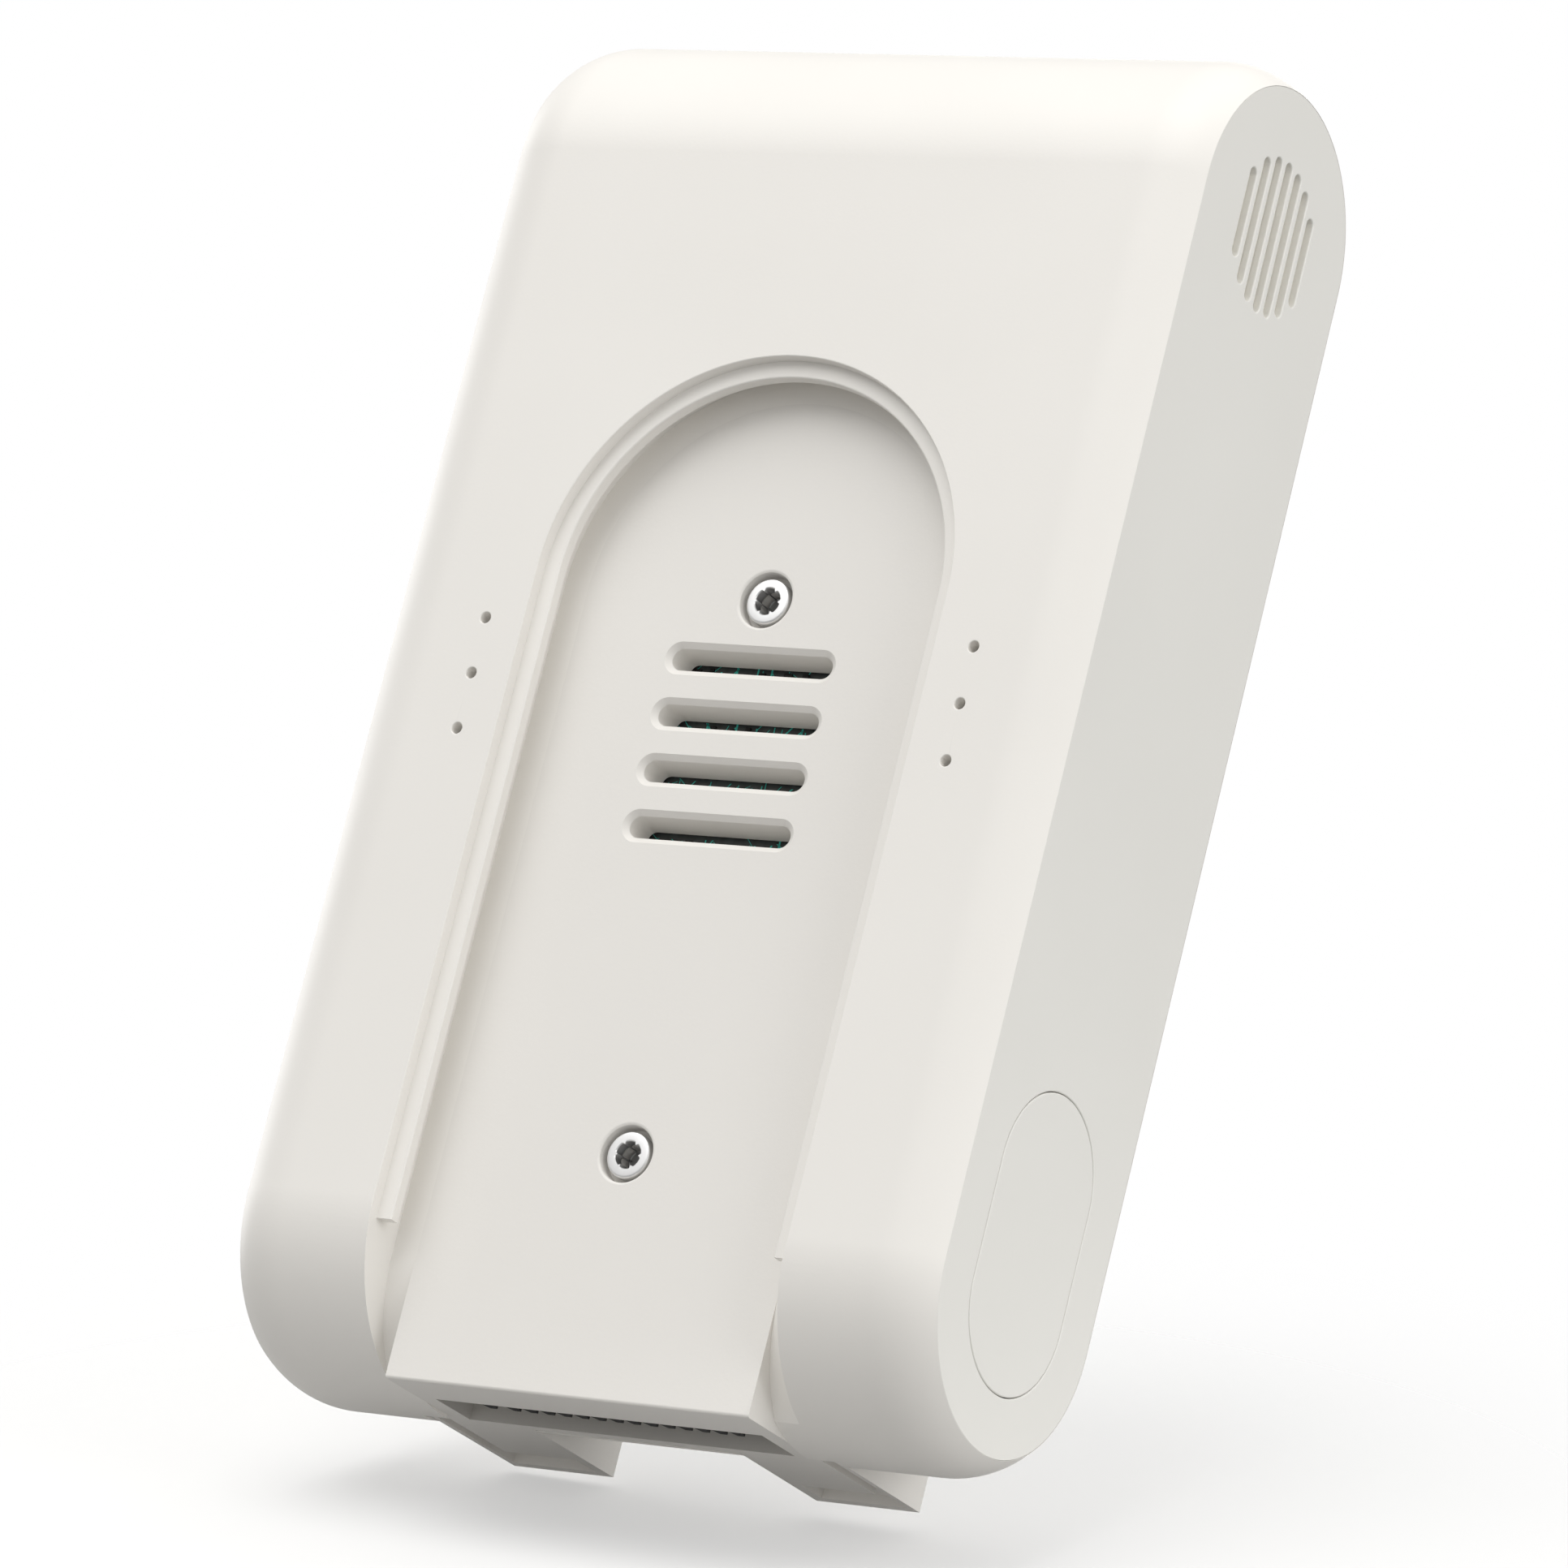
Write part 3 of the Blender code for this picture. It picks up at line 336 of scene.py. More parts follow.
def skin(name, rings):
    """A closed solid through rings of equal count."""
    graph = bmesh.new()
    loops = [[graph.verts.new(point) for point in ring] for ring in rings]
    for loop, following in zip(loops, loops[1:]):
        for i in range(len(loop)):
            j = (i + 1) % len(loop)
            graph.faces.new((loop[i], loop[j], following[j], following[i]))
    graph.faces.new(loops[0])
    graph.faces.new(loops[-1])
    return settle(graph, name)


def layered(name, outline, levels, along, centre=(0, 0, 0)):
    """A solid whose outline grows and shrinks along an axis: levels are (grow, height)."""
    turn = TURNS[along]
    shift = Vector(centre)
    rings = [[turn @ Vector((a, b, height)) + shift for a, b in outline(grow)] for grow, height in levels]
    return skin(name, rings)


def eased(low, high, low_round=0.0, high_round=0.0, steps=4):
    """Levels of a prism with rounded ends."""
    levels = []
    for i in range(steps + 1 if low_round else 1):
        angle = math.pi / 2 * (i / steps if low_round else 1)
        levels.append((low_round * (math.sin(angle) - 1), low + low_round * (1 - math.cos(angle))))
    for i in range(steps + 1 if high_round else 1):
        angle = math.pi / 2 * (1 - i / steps if high_round else 1)
        levels.append((high_round * (math.sin(angle) - 1), high - high_round * (1 - math.cos(angle))))
    return levels


def flared(bottom, surface, edge, steps=4):
    """Levels of a cutter from bottom through surface, whose mouth rounds the solid's edge there.

    The signs work both ways: surface may be above or below bottom.
    """
    out = 1 if surface > bottom else -1
    levels = [(0.0, bottom)]
    for i in range(steps + 1):
        angle = math.pi / 2 * i / steps
        levels.append((edge * (1 - math.cos(angle)), surface - out * edge * (1 - math.sin(angle))))
    return levels + [(edge + 0.02, surface + out * OVERCUT)]


def stepped(edge, surface):
    """Levels of a listed edge under a surface."""
    return [(grow, surface - sunk) for grow, sunk in edge]


def block(name, low, high):
    """A box between two corners."""
    graph = bmesh.new()
    bmesh.ops.create_cube(graph, size=1)
    bmesh.ops.scale(graph, vec=Vector(high) - Vector(low), verts=graph.verts)
    bmesh.ops.translate(graph, vec=(Vector(low) + Vector(high)) / 2, verts=graph.verts)
    return settle(graph, name)


def turned(name, profile, facing, centre, steps=64):
    """A profile of (radius, height) turned about an axis that faces outwards."""
    turn = {
        "+Y": Matrix(((1, 0, 0), (0, 0, 1), (0, -1, 0))),
        "-Y": Matrix(((1, 0, 0), (0, 0, -1), (0, 1, 0))),
    }[facing]
    graph = bmesh.new()
    spots = [graph.verts.new((radius, 0, height)) for radius, height in profile]
    edges = [graph.edges.new(pair) for pair in zip(spots, spots[1:])]
    axis = {"cent": (0, 0, 0), "axis": (0, 0, 1), "angle": 2 * math.pi, "steps": steps}
    bmesh.ops.spin(graph, geom=spots + edges, use_merge=True, **axis)
    bmesh.ops.remove_doubles(graph, verts=graph.verts, dist=0.0005)
    graph.transform(Matrix.Translation(centre) @ turn.to_4x4())
    return settle(graph, name)


def carve(obj, others, operation="DIFFERENCE"):
    """Applies Boolean operations with the others in order, and removes them."""
    for other in others:
        modifier = obj.modifiers.new(other.name, "BOOLEAN")
        modifier.operation = operation
        modifier.object = other
        modifier.solver = "EXACT"
    graph = bpy.context.evaluated_depsgraph_get()
    mesh = bpy.data.meshes.new_from_object(obj.evaluated_get(graph))
    old = obj.data
    obj.modifiers.clear()
    obj.data = mesh
    bpy.data.meshes.remove(old)
    for other in others:
        data = other.data
        bpy.data.objects.remove(other)
        bpy.data.meshes.remove(data)


def soften(obj, angle=35):
    """Smooth shading that follows the large faces, with an edge kept sharp above an angle in degrees."""
    obj.data.shade_smooth()
    obj.data.set_sharp_from_angle(angle=math.radians(angle))
    weighted = obj.modifiers.new("Weighted normals", "WEIGHTED_NORMAL")
    weighted.weight = 80
    weighted.keep_sharp = True


def dress(obj, look, body="housing", replaces=()):
    """Gives a piece its material, its body and the nodes it stands for."""
    obj.data.materials.clear()
    obj.data.materials.append(look)
    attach(obj, body)
    if replaces:
        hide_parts(*replaces)


# ---------------------------------------------------------------- materials

# Most values of a noise texture lie between these.
NOISE_LOW = 0.3
NOISE_HIGH = 0.7


def base_material(name, colour, roughness, metallic=0.0):
    """A Principled material with its node tree, shader and object coordinates."""
    made = bpy.data.materials.new(name)
    made.use_nodes = True
    tree = made.node_tree
    shader = tree.nodes["Principled BSDF"]
    shader.inputs["Base Color"].default_value = (*colour, 1)
    shader.inputs["Roughness"].default_value = roughness
    shader.inputs["Metallic"].default_value = metallic
    where = tree.nodes.new("ShaderNodeTexCoord").outputs["Object"]
    return made, tree, shader, where


def noise(tree, where, scale, detail=2.0, stretch=None):
    """A noise texture's value over the surface, in cells per metre."""
    if stretch:
        mapping = tree.nodes.new("ShaderNodeMapping")
        mapping.inputs["Scale"].default_value = stretch
        tree.links.new(where, mapping.inputs["Vector"])
        where = mapping.outputs["Vector"]
    texture = tree.nodes.new("ShaderNodeTexNoise")
    texture.inputs["Scale"].default_value = scale
    texture.inputs["Detail"].default_value = detail
    tree.links.new(where, texture.inputs["Vector"])
    return texture.outputs["Fac"]


def remap(tree, value, low, high, start=NOISE_LOW, end=NOISE_HIGH, curve="LINEAR"):
    """Maps a value's range from start to end onto low to high."""
    spread = tree.nodes.new("ShaderNodeMapRange")
    spread.interpolation_type = curve
    spread.inputs["From Min"].default_value = start
    spread.inputs["From Max"].default_value = end
    spread.inputs["To Min"].default_value = low
    spread.inputs["To Max"].default_value = high
    tree.links.new(value, spread.inputs["Value"])
    return spread.outputs["Result"]


def combine(tree, operation, first, second):
    """A Math node over two values, where the first may be a plain number."""
    node = tree.nodes.new("ShaderNodeMath")
    node.operation = operation
    if isinstance(first, float):
        node.inputs[0].default_value = first
    else:
        tree.links.new(first, node.inputs[0])
    tree.links.new(second, node.inputs[1])
    return node.outputs["Value"]


def tint(tree, shader, value, first, second):
    """Base colour that wanders between two tones as the value does."""
    ramp = tree.nodes.new("ShaderNodeValToRGB")
    ramp.color_ramp.elements[0].position = NOISE_LOW
    ramp.color_ramp.elements[0].color = (*first, 1)
    ramp.color_ramp.elements[1].position = NOISE_HIGH
    ramp.color_ramp.elements[1].color = (*second, 1)
    tree.links.new(value, ramp.inputs["Fac"])
    tree.links.new(ramp.outputs["Color"], shader.inputs["Base Color"])


def bump(tree, shader, value, height, strength=1.0):
    """Surface relief of that height in metres."""
    relief = tree.nodes.new("ShaderNodeBump")
    relief.inputs["Distance"].default_value = height
    relief.inputs["Strength"].default_value = strength
    tree.links.new(value, relief.inputs["Height"])
    tree.links.new(relief.outputs["Normal"], shader.inputs["Normal"])


def moulded(name, colour, roughness, cell, height, wander=0.012):
    """Moulded plastic: an even spark-eroded grain, faint tone drift and uneven gloss."""
    made, tree, shader, where = base_material(name, colour, roughness)
    darker = [c - wander for c in colour]
    lighter = [c + wander for c in colour]
    tint(tree, shader, noise(tree, where, scale=25.0, detail=3.0), darker, lighter)
    gloss = remap(tree, noise(tree, where, scale=60.0, detail=4.0), roughness - 0.03, roughness + 0.04)
    tree.links.new(gloss, shader.inputs["Roughness"])
    bump(tree, shader, noise(tree, where, scale=1.0 / cell), height)
    return made


def metal(name, colour, roughness, streak, wear=1.0):
    """Bright metal with fine machining marks along one direction."""
    made, tree, shader, where = base_material(name, colour, roughness, metallic=1.0)
    marks = noise(tree, where, scale=1500.0, detail=3.0, stretch=streak)
    worn = [c * (1 - 0.1 * wear) for c in colour]
    tint(tree, shader, noise(tree, where, scale=400.0, detail=3.0), worn, colour)
    gloss = remap(tree, marks, roughness - 0.06 * wear, roughness + 0.1 * wear)
    tree.links.new(gloss, shader.inputs["Roughness"])
    bump(tree, shader, marks, height=0.00001, strength=0.4 * wear)
    return made


def polished(name, colour, roughness, coat):
    """A clear-coated smooth surface with a trace of handling haze."""
    made, tree, shader, where = base_material(name, colour, roughness)
    shader.inputs["Coat Weight"].default_value = coat
    shader.inputs["Coat Roughness"].default_value = 0.04
    haze = noise(tree, where, scale=90.0, detail=5.0)
    tree.links.new(remap(tree, haze, roughness, roughness + 0.05), shader.inputs["Roughness"])
    darker = [c * 0.9 for c in colour]
    lighter = [min(1, c * 1.05) for c in colour]
    tint(tree, shader, noise(tree, where, scale=40.0), darker, lighter)
    return made


def solder_mask(name, dark, light):
    """Circuit board lacquer over copper: a fine trace-like relief and two tones."""
    made, tree, shader, where = base_material(name, dark, roughness=0.35)
    cells = tree.nodes.new("ShaderNodeTexVoronoi")
    cells.distance = "CHEBYCHEV"
    cells.inputs["Scale"].default_value = 900.0
    tree.links.new(where, cells.inputs["Vector"])
    tint(tree, shader, cells.outputs["Distance"], light, dark)
    bump(tree, shader, cells.outputs["Distance"], height=0.00002, strength=0.6)
    return made


def mesh_screen(name, colour):
    """Woven acoustic mesh: two crossed sets of threads."""
    made, tree, shader, where = base_material(name, colour, roughness=0.7)
    waves = []
    for direction in ("Y", "Z"):
        wave = tree.nodes.new("ShaderNodeTexWave")
        wave.bands_direction = direction
        wave.inputs["Scale"].default_value = 900.0
        tree.links.new(where, wave.inputs["Vector"])
        waves.append(wave.outputs["Fac"])
    weave = combine(tree, "MAXIMUM", *waves)
    tint(tree, shader, weave, [c * 0.86 for c in colour], colour)
    bump(tree, shader, weave, height=0.00004)
    return made


def sink_shade(made, height, depth, shade):
    """Paints shade into a material's colour below a height along Y, darker down into a driver socket where
    shade falls.
    """
    tree = made.node_tree
    shader = tree.nodes["Principled BSDF"]
    source = shader.inputs["Base Color"].links[0].from_socket
    place = tree.nodes.new("ShaderNodeSeparateXYZ")
    tree.links.new(tree.nodes.new("ShaderNodeTexCoord").outputs["Object"], place.inputs[0])
    fall = remap(tree, place.outputs["Y"], shade, 1.0, height - depth, height)
    mix = tree.nodes.new("ShaderNodeMix")
    mix.data_type = "RGBA"
    mix.blend_type = "MULTIPLY"
    mix.inputs["Factor"].default_value = 1.0
    tree.links.new(source, mix.inputs["A"])
    tree.links.new(fall, mix.inputs["B"])
    tree.links.new(mix.outputs["Result"], shader.inputs["Base Color"])


# After a moulding's colour come its roughness, the grain's cell and height in metres, and its tone drift.
SHELL_LOOK = moulded("satin_white_shell", (0.885, 0.863, 0.823), 0.42, 0.00035, 0.000006)
CHASSIS_LOOK = moulded("grained_white_chassis", (0.85, 0.828, 0.79), 0.5, 0.0005, 0.000012)
# A darker copy of the chassis plastic: painted shade for the walls inside the connector's mouth.
MOUTH_SHADE_LOOK = moulded("mouth_walls_painted_shade", (0.62, 0.598, 0.56), 0.6, 0.0005, 0.000016)
CAP_LOOK = moulded("satin_white_cap", (0.86, 0.85, 0.81), 0.45, 0.00035, 0.000006)
BLACK_LOOK = moulded("black_moulding", (0.016, 0.016, 0.016), 0.5, 0.0004, 0.00001, 0.004)
BLACK_LOOK.node_tree.nodes["Principled BSDF"].inputs["Specular IOR Level"].default_value = 0.25
FOAM_LOOK = moulded("closed_cell_foam", (0.035, 0.035, 0.035), 0.85, 0.0006, 0.00008, 0.008)
RUBBER_LOOK = moulded("silicone_dome", (0.12, 0.12, 0.12), 0.6, 0.0005, 0.00001, 0.01)
CELL_LOOK = moulded("cell_shrink_wrap", (0.12, 0.24, 0.48), 0.38, 0.0012, 0.00002, 0.02)
MILKY_LOOK = polished("milky_diffuser", (0.80, 0.81, 0.79), roughness=0.22, coat=0.3)
GLASS_LOOK = polished("tinted_window", (0.012, 0.013, 0.015), roughness=0.06, coat=1.0)
LENS_LOOK = polished("coated_lens", (0.015, 0.014, 0.035), roughness=0.04, coat=1.0)
SCREW_LOOK = metal("nickel_plated_steel", (0.88, 0.88, 0.88), 0.42, streak=(1.0, 1.0, 4.0), wear=0.05)
STEEL_LOOK = metal("tinned_steel", (0.62, 0.61, 0.59), 0.3, streak=(1.0, 8.0, 1.0))
COPPER_LOOK = metal("copper_foil", (0.75, 0.45, 0.3), 0.35, streak=(1.0, 1.0, 8.0))
TEAL_LOOK = polished("traced_lacquer", (0.06, 0.62, 0.52), roughness=0.3, coat=0.2)
BOARD_LOOK = solder_mask("solder_mask", (0.035, 0.038, 0.038), (0.05, 0.06, 0.058))
MESH_LOOK = mesh_screen("acoustic_mesh", (0.80, 0.77, 0.69))

# Painted shade: the sockets darken from a little under the screws' faces down to their floors.
sink_shade(SCREW_LOOK, MIDDLE.y + (FLOOR_Y - 0.5) * MM, depth=1.2 * MM, shade=0.42)

SLOT_LOOKS = {
    "white_plastic": SHELL_LOOK,
    "chassis_plastic": CHASSIS_LOOK,
    "side_cap_plastic": CAP_LOOK,
    "grille_mesh": MESH_LOOK,
    "foam": FOAM_LOOK,
    "black_plastic": BLACK_LOOK,
    "steel": STEEL_LOOK,
    "screw_steel": SCREW_LOOK,
    "circuit_board": BOARD_LOOK,
    "copper_foil": COPPER_LOOK,
    "cell_wrap": CELL_LOOK,
    "milky_plastic": MILKY_LOOK,
    "dark_glass": GLASS_LOOK,
    "lens_glass": LENS_LOOK,
    "rubber_dome": RUBBER_LOOK,
}


def dress_cad_nodes():
    """Every node that stays visible takes the procedural material of its slot."""
    slots = {entry["node"]: entry["material_slot"] for entry in frame["record"]["subparts"]}
    for name, obj in frame["nodes"].items():
        obj.data.materials.clear()
        obj.data.materials.append(SLOT_LOOKS[slots[name]])


# ---------------------------------------------------------------- sleeve


def make_shell():
    """The sleeve with rounded ends, its stepped recess and the undercut rail."""
    turn = math.asin(SIDE_RUN / SIDE_ARC)
    start = HALF_WIDTH - SIDE_RUN
    steps = 12
    right = []
    for i in range(steps + 1):
        angle = turn * i / steps
        right.append((start + SIDE_ARC * math.sin(angle), RADIUS - SIDE_ARC * (1 - math.cos(angle))))
    sections = [(-x, radius) for x, radius in reversed(right)] + right
    outline = stadium(0, ARC_CENTRE, -ARC_CENTRE)
    rings = [[Vector((x, y, z)) for y, z in outline(radius)] for x, radius in sections]
    shell = skin("sleeve_shell", rings)

    inner = stadium(RADIUS - WALL, ARC_CENTRE, -ARC_CENTRE)
    over = HALF_WIDTH + OVERCUT
    cavity = layered("cavity", inner, [(0, -over), (0, over)], "X")
    pocket_outline = arch(CHEEK + POCKET_WALL, BOTTOM_Z - OVERCUT)
    pocket = layered("pocket", pocket_outline, [(0, FLOOR_Y - POCKET_WALL), (0, RADIUS)], "Y")
    carve(cavity, [pocket])

    foot = RAIL_END_Z - OVERCUT
    side = TONGUE + FLUSH
    recess = [(0, LIP_TOP_Y)] + stepped(RECESS_EDGE, RADIUS)
    cutters = [cavity, layered("recess_mouth", arch(CHEEK, foot), recess, "Y")]
    cutters.append(layered("rail_slot", arch(CHEEK, foot), [(0, FLOOR_Y), (0, LIP_UNDER_Y)], "Y"))
    inner_lip = [(0, FLOOR_Y)] + flared(LIP_UNDER_Y, LIP_TOP_Y, LIP_EDGE)
    cutters.append(layered("rail_inner", arch(LIP, foot), inner_lip, "Y"))
    through = [(0, FLOOR_Y - 2 * POCKET_WALL), (0, LIP_UNDER_Y)]
    cutters.append(layered("chassis_window", arch(side, foot), through, "Y"))

    curve = arc((FLOOR_Y - LOWER_CURVE, LOWER_CURVE_Z), LOWER_CURVE, 0, LOWER_CURVE_END, 24)
    reach = RADIUS + OVERCUT
    lower = [(reach, RAIL_END_Z), (FLOOR_Y, RAIL_END_Z)] + curve + [(reach, curve[-1][1])]
    cutters.append(layered("lower_recess", fixed(lower), [(0, -CHEEK), (0, CHEEK)], "X"))
    low = (-side, BLOCK_FRONT_Y - SEAM, BOTTOM_Z - OVERCUT)
    cutters.append(block("block_way", low, (side, FLOOR_Y + OVERCUT, RAIL_END_Z)))
    for sign in (-1, 1):
        ends = sorted((sign * (FOOT_INNER - SEAM), sign * (FOOT_OUTER + SEAM)))
        low = (ends[0], FOOT_FRONT_Y, BOTTOM_Z - OVERCUT)
        cutters.append(block("foot_notch", low, (ends[1], FOOT_REAR_Y + SEAM, FOOT_TOP_Z + SEAM)))
        for i in range(PINHOLE_COUNT):
            spot = (sign * PINHOLE_X, 0, PINHOLE_TOP_Z - i * PINHOLE_PITCH)
            levels = flared(RADIUS - WALL - OVERCUT, RADIUS, PINHOLE_EDGE)
            cutters.append(layered("pinhole", circle(PINHOLE_RADIUS, 24), levels, "Y", spot))
    opening = rounded(WINDOW_HALF, FASCIA_REACH - WINDOW_CORNER, WINDOW_CORNER)
    spot = (0, -RADIUS, FASCIA_Z)
    cutters.append(layered("front_window", opening, [(0, -OVERCUT), (0, WALL + OVERCUT)], "Y", spot))
    for sign in (-1, 1):
        seat = stadium(SIDE_RADIUS - HAIRLINE, ARC_CENTRE, -ARC_CENTRE)
        levels = [(0, sign * (HALF_WIDTH - CAP_SEAT_DEPTH)), (0, sign * over)]
        cutters.append(layered("cap_seat", seat, levels, "X"))
    carve(shell, cutters)
    soften(shell, angle=28)
    dress(shell, SHELL_LOOK, replaces=["main_shell"])


def make_side_caps():
    """Flush end plates; the one at -X has the speaker slots and the push plate's opening."""
    for name, sign in (("grille_side_cap", -1), ("plain_side_cap", 1)):
        outline = stadium(SIDE_RADIUS - 2 * HAIRLINE, ARC_CENTRE, -ARC_CENTRE)
        levels = eased(HALF_WIDTH - CAP_DEPTH, HALF_WIDTH, 0, CAP_EDGE)
        levels = [(grow, sign * height) for grow, height in levels]
        cap = layered(name + "_plate", outline, levels, "X")
        if sign < 0:
            carve(cap, speaker_slots() + [push_plate_opening()])
        soften(cap, angle=28)
        dress(cap, CAP_LOOK, replaces=[name])


def grille_rows(levels, shrink, steps, name):
    """A row of upright slot shapes that together fill a circle, as solids."""
    rows = []
    for k in range(-GRILLE_EACH_SIDE, GRILLE_EACH_SIDE + 1):
        middle = k * GRILLE_PITCH
        ends = math.sqrt(GRILLE_RADIUS**2 - middle**2) - GRILLE_SLOT / 2
        slot = stadium(GRILLE_SLOT / 2 - shrink, GRILLE_Z + ends, GRILLE_Z - ends, steps, middle)
        rows.append(layered(name, slot, levels, "X"))
    return rows


def speaker_slots():
    """Cutters for the speaker slots."""
    levels = flared(-HALF_WIDTH + CAP_CUT, -HALF_WIDTH, GRILLE_EDGE)
    return grille_rows(levels, 0.0, 12, "speaker_slot")


def push_plate_opening():
    """The cutter for the push plate's opening."""
    outline = stadium(PLATE_RADIUS + PLATE_GAP, PLATE_TOP_Z, PLATE_LOW_Z, 48)
    levels = flared(-HALF_WIDTH + CAP_CUT, -HALF_WIDTH, PLATE_EDGE)
    return layered("plate_opening", outline, levels, "X")


def make_side_button():
    """The flush push plate, with a rounded rim and a stem behind it."""
    outline = stadium(PLATE_RADIUS - PLATE_GAP, PLATE_TOP_Z, PLATE_LOW_Z, 48)
    levels = eased(-HALF_WIDTH, -HALF_WIDTH + PLATE_DEPTH, PLATE_EDGE, 0.0)
    plate = layered("push_plate", outline, levels, "X")
    middle = (0, 0, (PLATE_TOP_Z + PLATE_LOW_Z) / 2)
    start = -HALF_WIDTH + STEM_START
    levels = eased(start, start + STEM_LENGTH, 0, STEM_ROUND)
    stem = layered("push_stem", circle(STEM_RADIUS, 32), levels, "X", middle)
    carve(plate, [stem], "UNION")
    soften(plate)
    dress(plate, CAP_LOOK, "side_button", ["side_button_plate"])


def make_grille_screen():
    """The acoustic mesh behind the slots, with a raised pad in each of them."""
    disc = circle(GRILLE_RADIUS + MESH_RIM, 64)
    levels = [(0, -HALF_WIDTH + MESH_FRONT), (0, -HALF_WIDTH + MESH_BACK)]
    screen = layered("grille_mesh_disc", disc, levels, "X", (0, 0, GRILLE_Z))
    front = -HALF_WIDTH + PAD_FRONT
    levels = [(-PAD_ROUND, front), (0, front + PAD_RISE), (0, -HALF_WIDTH + PAD_BACK)]
    carve(screen, grille_rows(levels, PAD_GAP, 10, "mesh_pad"), "UNION")
    soften(screen)
    dress(screen, MESH_LOOK, replaces=["grille_screen"])


# ---------------------------------------------------------------- chassis


def make_chassis():
    """The recess floor with its vents and screw seats, the connector block and the two feet."""
    below = BOTTOM_Z - OVERCUT
    half = TONGUE + OVERCUT
    top = ARCH_Z + half
    body = block("chassis_moulding", (-half, BLOCK_FRONT_Y, below), (half, FLOOR_Y, top))
    low = (-half - CLEAR, BLOCK_FRONT_Y - CLEAR, BLOCK_TOP_Z)
    carve(body, [block("behind_plate", low, (half + CLEAR, FLOOR_Y - PLATE, top + CLEAR))])
    levels = [(0, BLOCK_FRONT_Y - OVERCUT), (0, FLOOR_Y + OVERCUT)]
    outline = layered("tongue_outline", arch(TONGUE, below - OVERCUT), levels, "Y")
    lower_edge = layered("lower_edge", fixed(block_profile(top + CLEAR)), [(0, -half), (0, half)], "X")
    carve(body, [outline], "INTERSECT")
    carve(body, [lower_edge], "INTERSECT")
    feet = []
    for sign in (-1, 1):
        ends = sorted((sign * FOOT_INNER, sign * FOOT_OUTER))
        feet.append(layered("foot", fixed(foot_profile()), [(0, ends[0]), (0, ends[1])], "X"))
    carve(body, feet, "UNION")

    across, beyond, down = TRIM_REACH
    low = (-across, -beyond, BOTTOM_Z - down)
    cutters = [block("bottom_trim", low, (across, beyond, BOTTOM_Z))]
    for z in (UPPER_SCREW_Z, LOWER_SCREW_Z):
        hole = [(0, FLOOR_Y - HOLE_DEPTH), (0, FLOOR_Y - CLEAR)]
        cutters.append(layered("screw_hole", circle(HOLE_RADIUS), hole, "Y", (0, 0, z)))
        seat = [(0, FLOOR_Y - SEAT_DEPTH)] + stepped(SEAT_EDGE, FLOOR_Y)
        cutters.append(layered("screw_seat", circle(SEAT_RADIUS, 64), seat, "Y", (0, 0, z)))
    inner = -VENT_RIM - VENT_DRAFT
    ledge = FLOOR_Y - VENT_SINK
    levels = [(inner, FLOOR_Y - PLATE - CLEAR), (inner, FLOOR_Y - PLATE)]
    levels += [(-VENT_RIM, ledge - VENT_LEDGE), (0.05 - VENT_RIM, ledge)] + stepped(VENT_EDGE, FLOOR_Y)
    reach = (VENT_LENGTH - VENT_HEIGHT) / 2
    for i in range(VENT_COUNT):
        cutters.append(layered("vent", vent_outline(reach, VENT_TOP_Z - i * VENT_PITCH), levels, "Y"))
    for sign in (-1, 1):
        path = [(sign * x, y) for x, y in groove_profile()]
        cutters.append(layered("foot_groove", fixed(path), [(0, below), (0, BOTTOM_Z + GROOVE_DEPTH)], "Z"))
    low = (-MOUTH_HALF, MOUTH_FRONT_Y, below)
    cutters.append(block("mouth", low, (MOUTH_HALF, MOUTH_BACK_Y, BOTTOM_Z + MOUTH_DEPTH)))
    carve(body, cutters)
    soften(body, angle=28)
    dress(body, CHASSIS_LOOK, replaces=["chassis_sled"])
    # The walls inside the mouth take the darker look, as painted shade.
    paint_mouth_shade(body)


def paint_mouth_shade(body, slack=0.01):
    """Paints shade on the walls inside the connector's mouth: those faces take a darker copy of the plastic.
    """
    body.data.materials.append(MOUTH_SHADE_LOOK)
    for face in body.data.polygons:
        x, y, z = (face.center - MIDDLE) / MM
        beside = abs(x) < MOUTH_HALF + slack and MOUTH_FRONT_Y - slack < y < MOUTH_BACK_Y + slack
        above = BOTTOM_Z + slack < z < BOTTOM_Z + MOUTH_DEPTH + slack
        face.material_index = int(beside and above)


def block_profile(top):
    """The connector block from the side, with a rounded lower rear edge."""
    corner = arc((FLOOR_Y - BLOCK_EDGE, BOTTOM_Z + BLOCK_EDGE), BLOCK_EDGE, -90, 0, 5)
    front = BLOCK_FRONT_Y - CLEAR
    return [(front, BOTTOM_Z)] + corner + [(FLOOR_Y, top), (front, top)]


def groove_profile():
    """The L-shaped groove under the foot on the +X side, seen from below."""
    front = [(GROOVE_INNER_X, GROOVE_FRONT_Y), (GROOVE_OUTER_X, GROOVE_FRONT_Y)]
    rear = [(GROOVE_OUTER_X, GROOVE_REAR_Y), (GROOVE_ARM_X, GROOVE_REAR_Y)]
    return front + rear + [(GROOVE_ARM_X, GROOVE_ARM_Y), (GROOVE_INNER_X, GROOVE_ARM_Y)]


def vent_outline(reach, height):
    """A level slot. Past the rim's width only the upper wall comes in."""

    def outline(grow=0.0):
        slope = max(0.0, -grow - VENT_RIM)
        return bar(VENT_HEIGHT / 2, reach + slope, height - slope)(grow)

    return outline


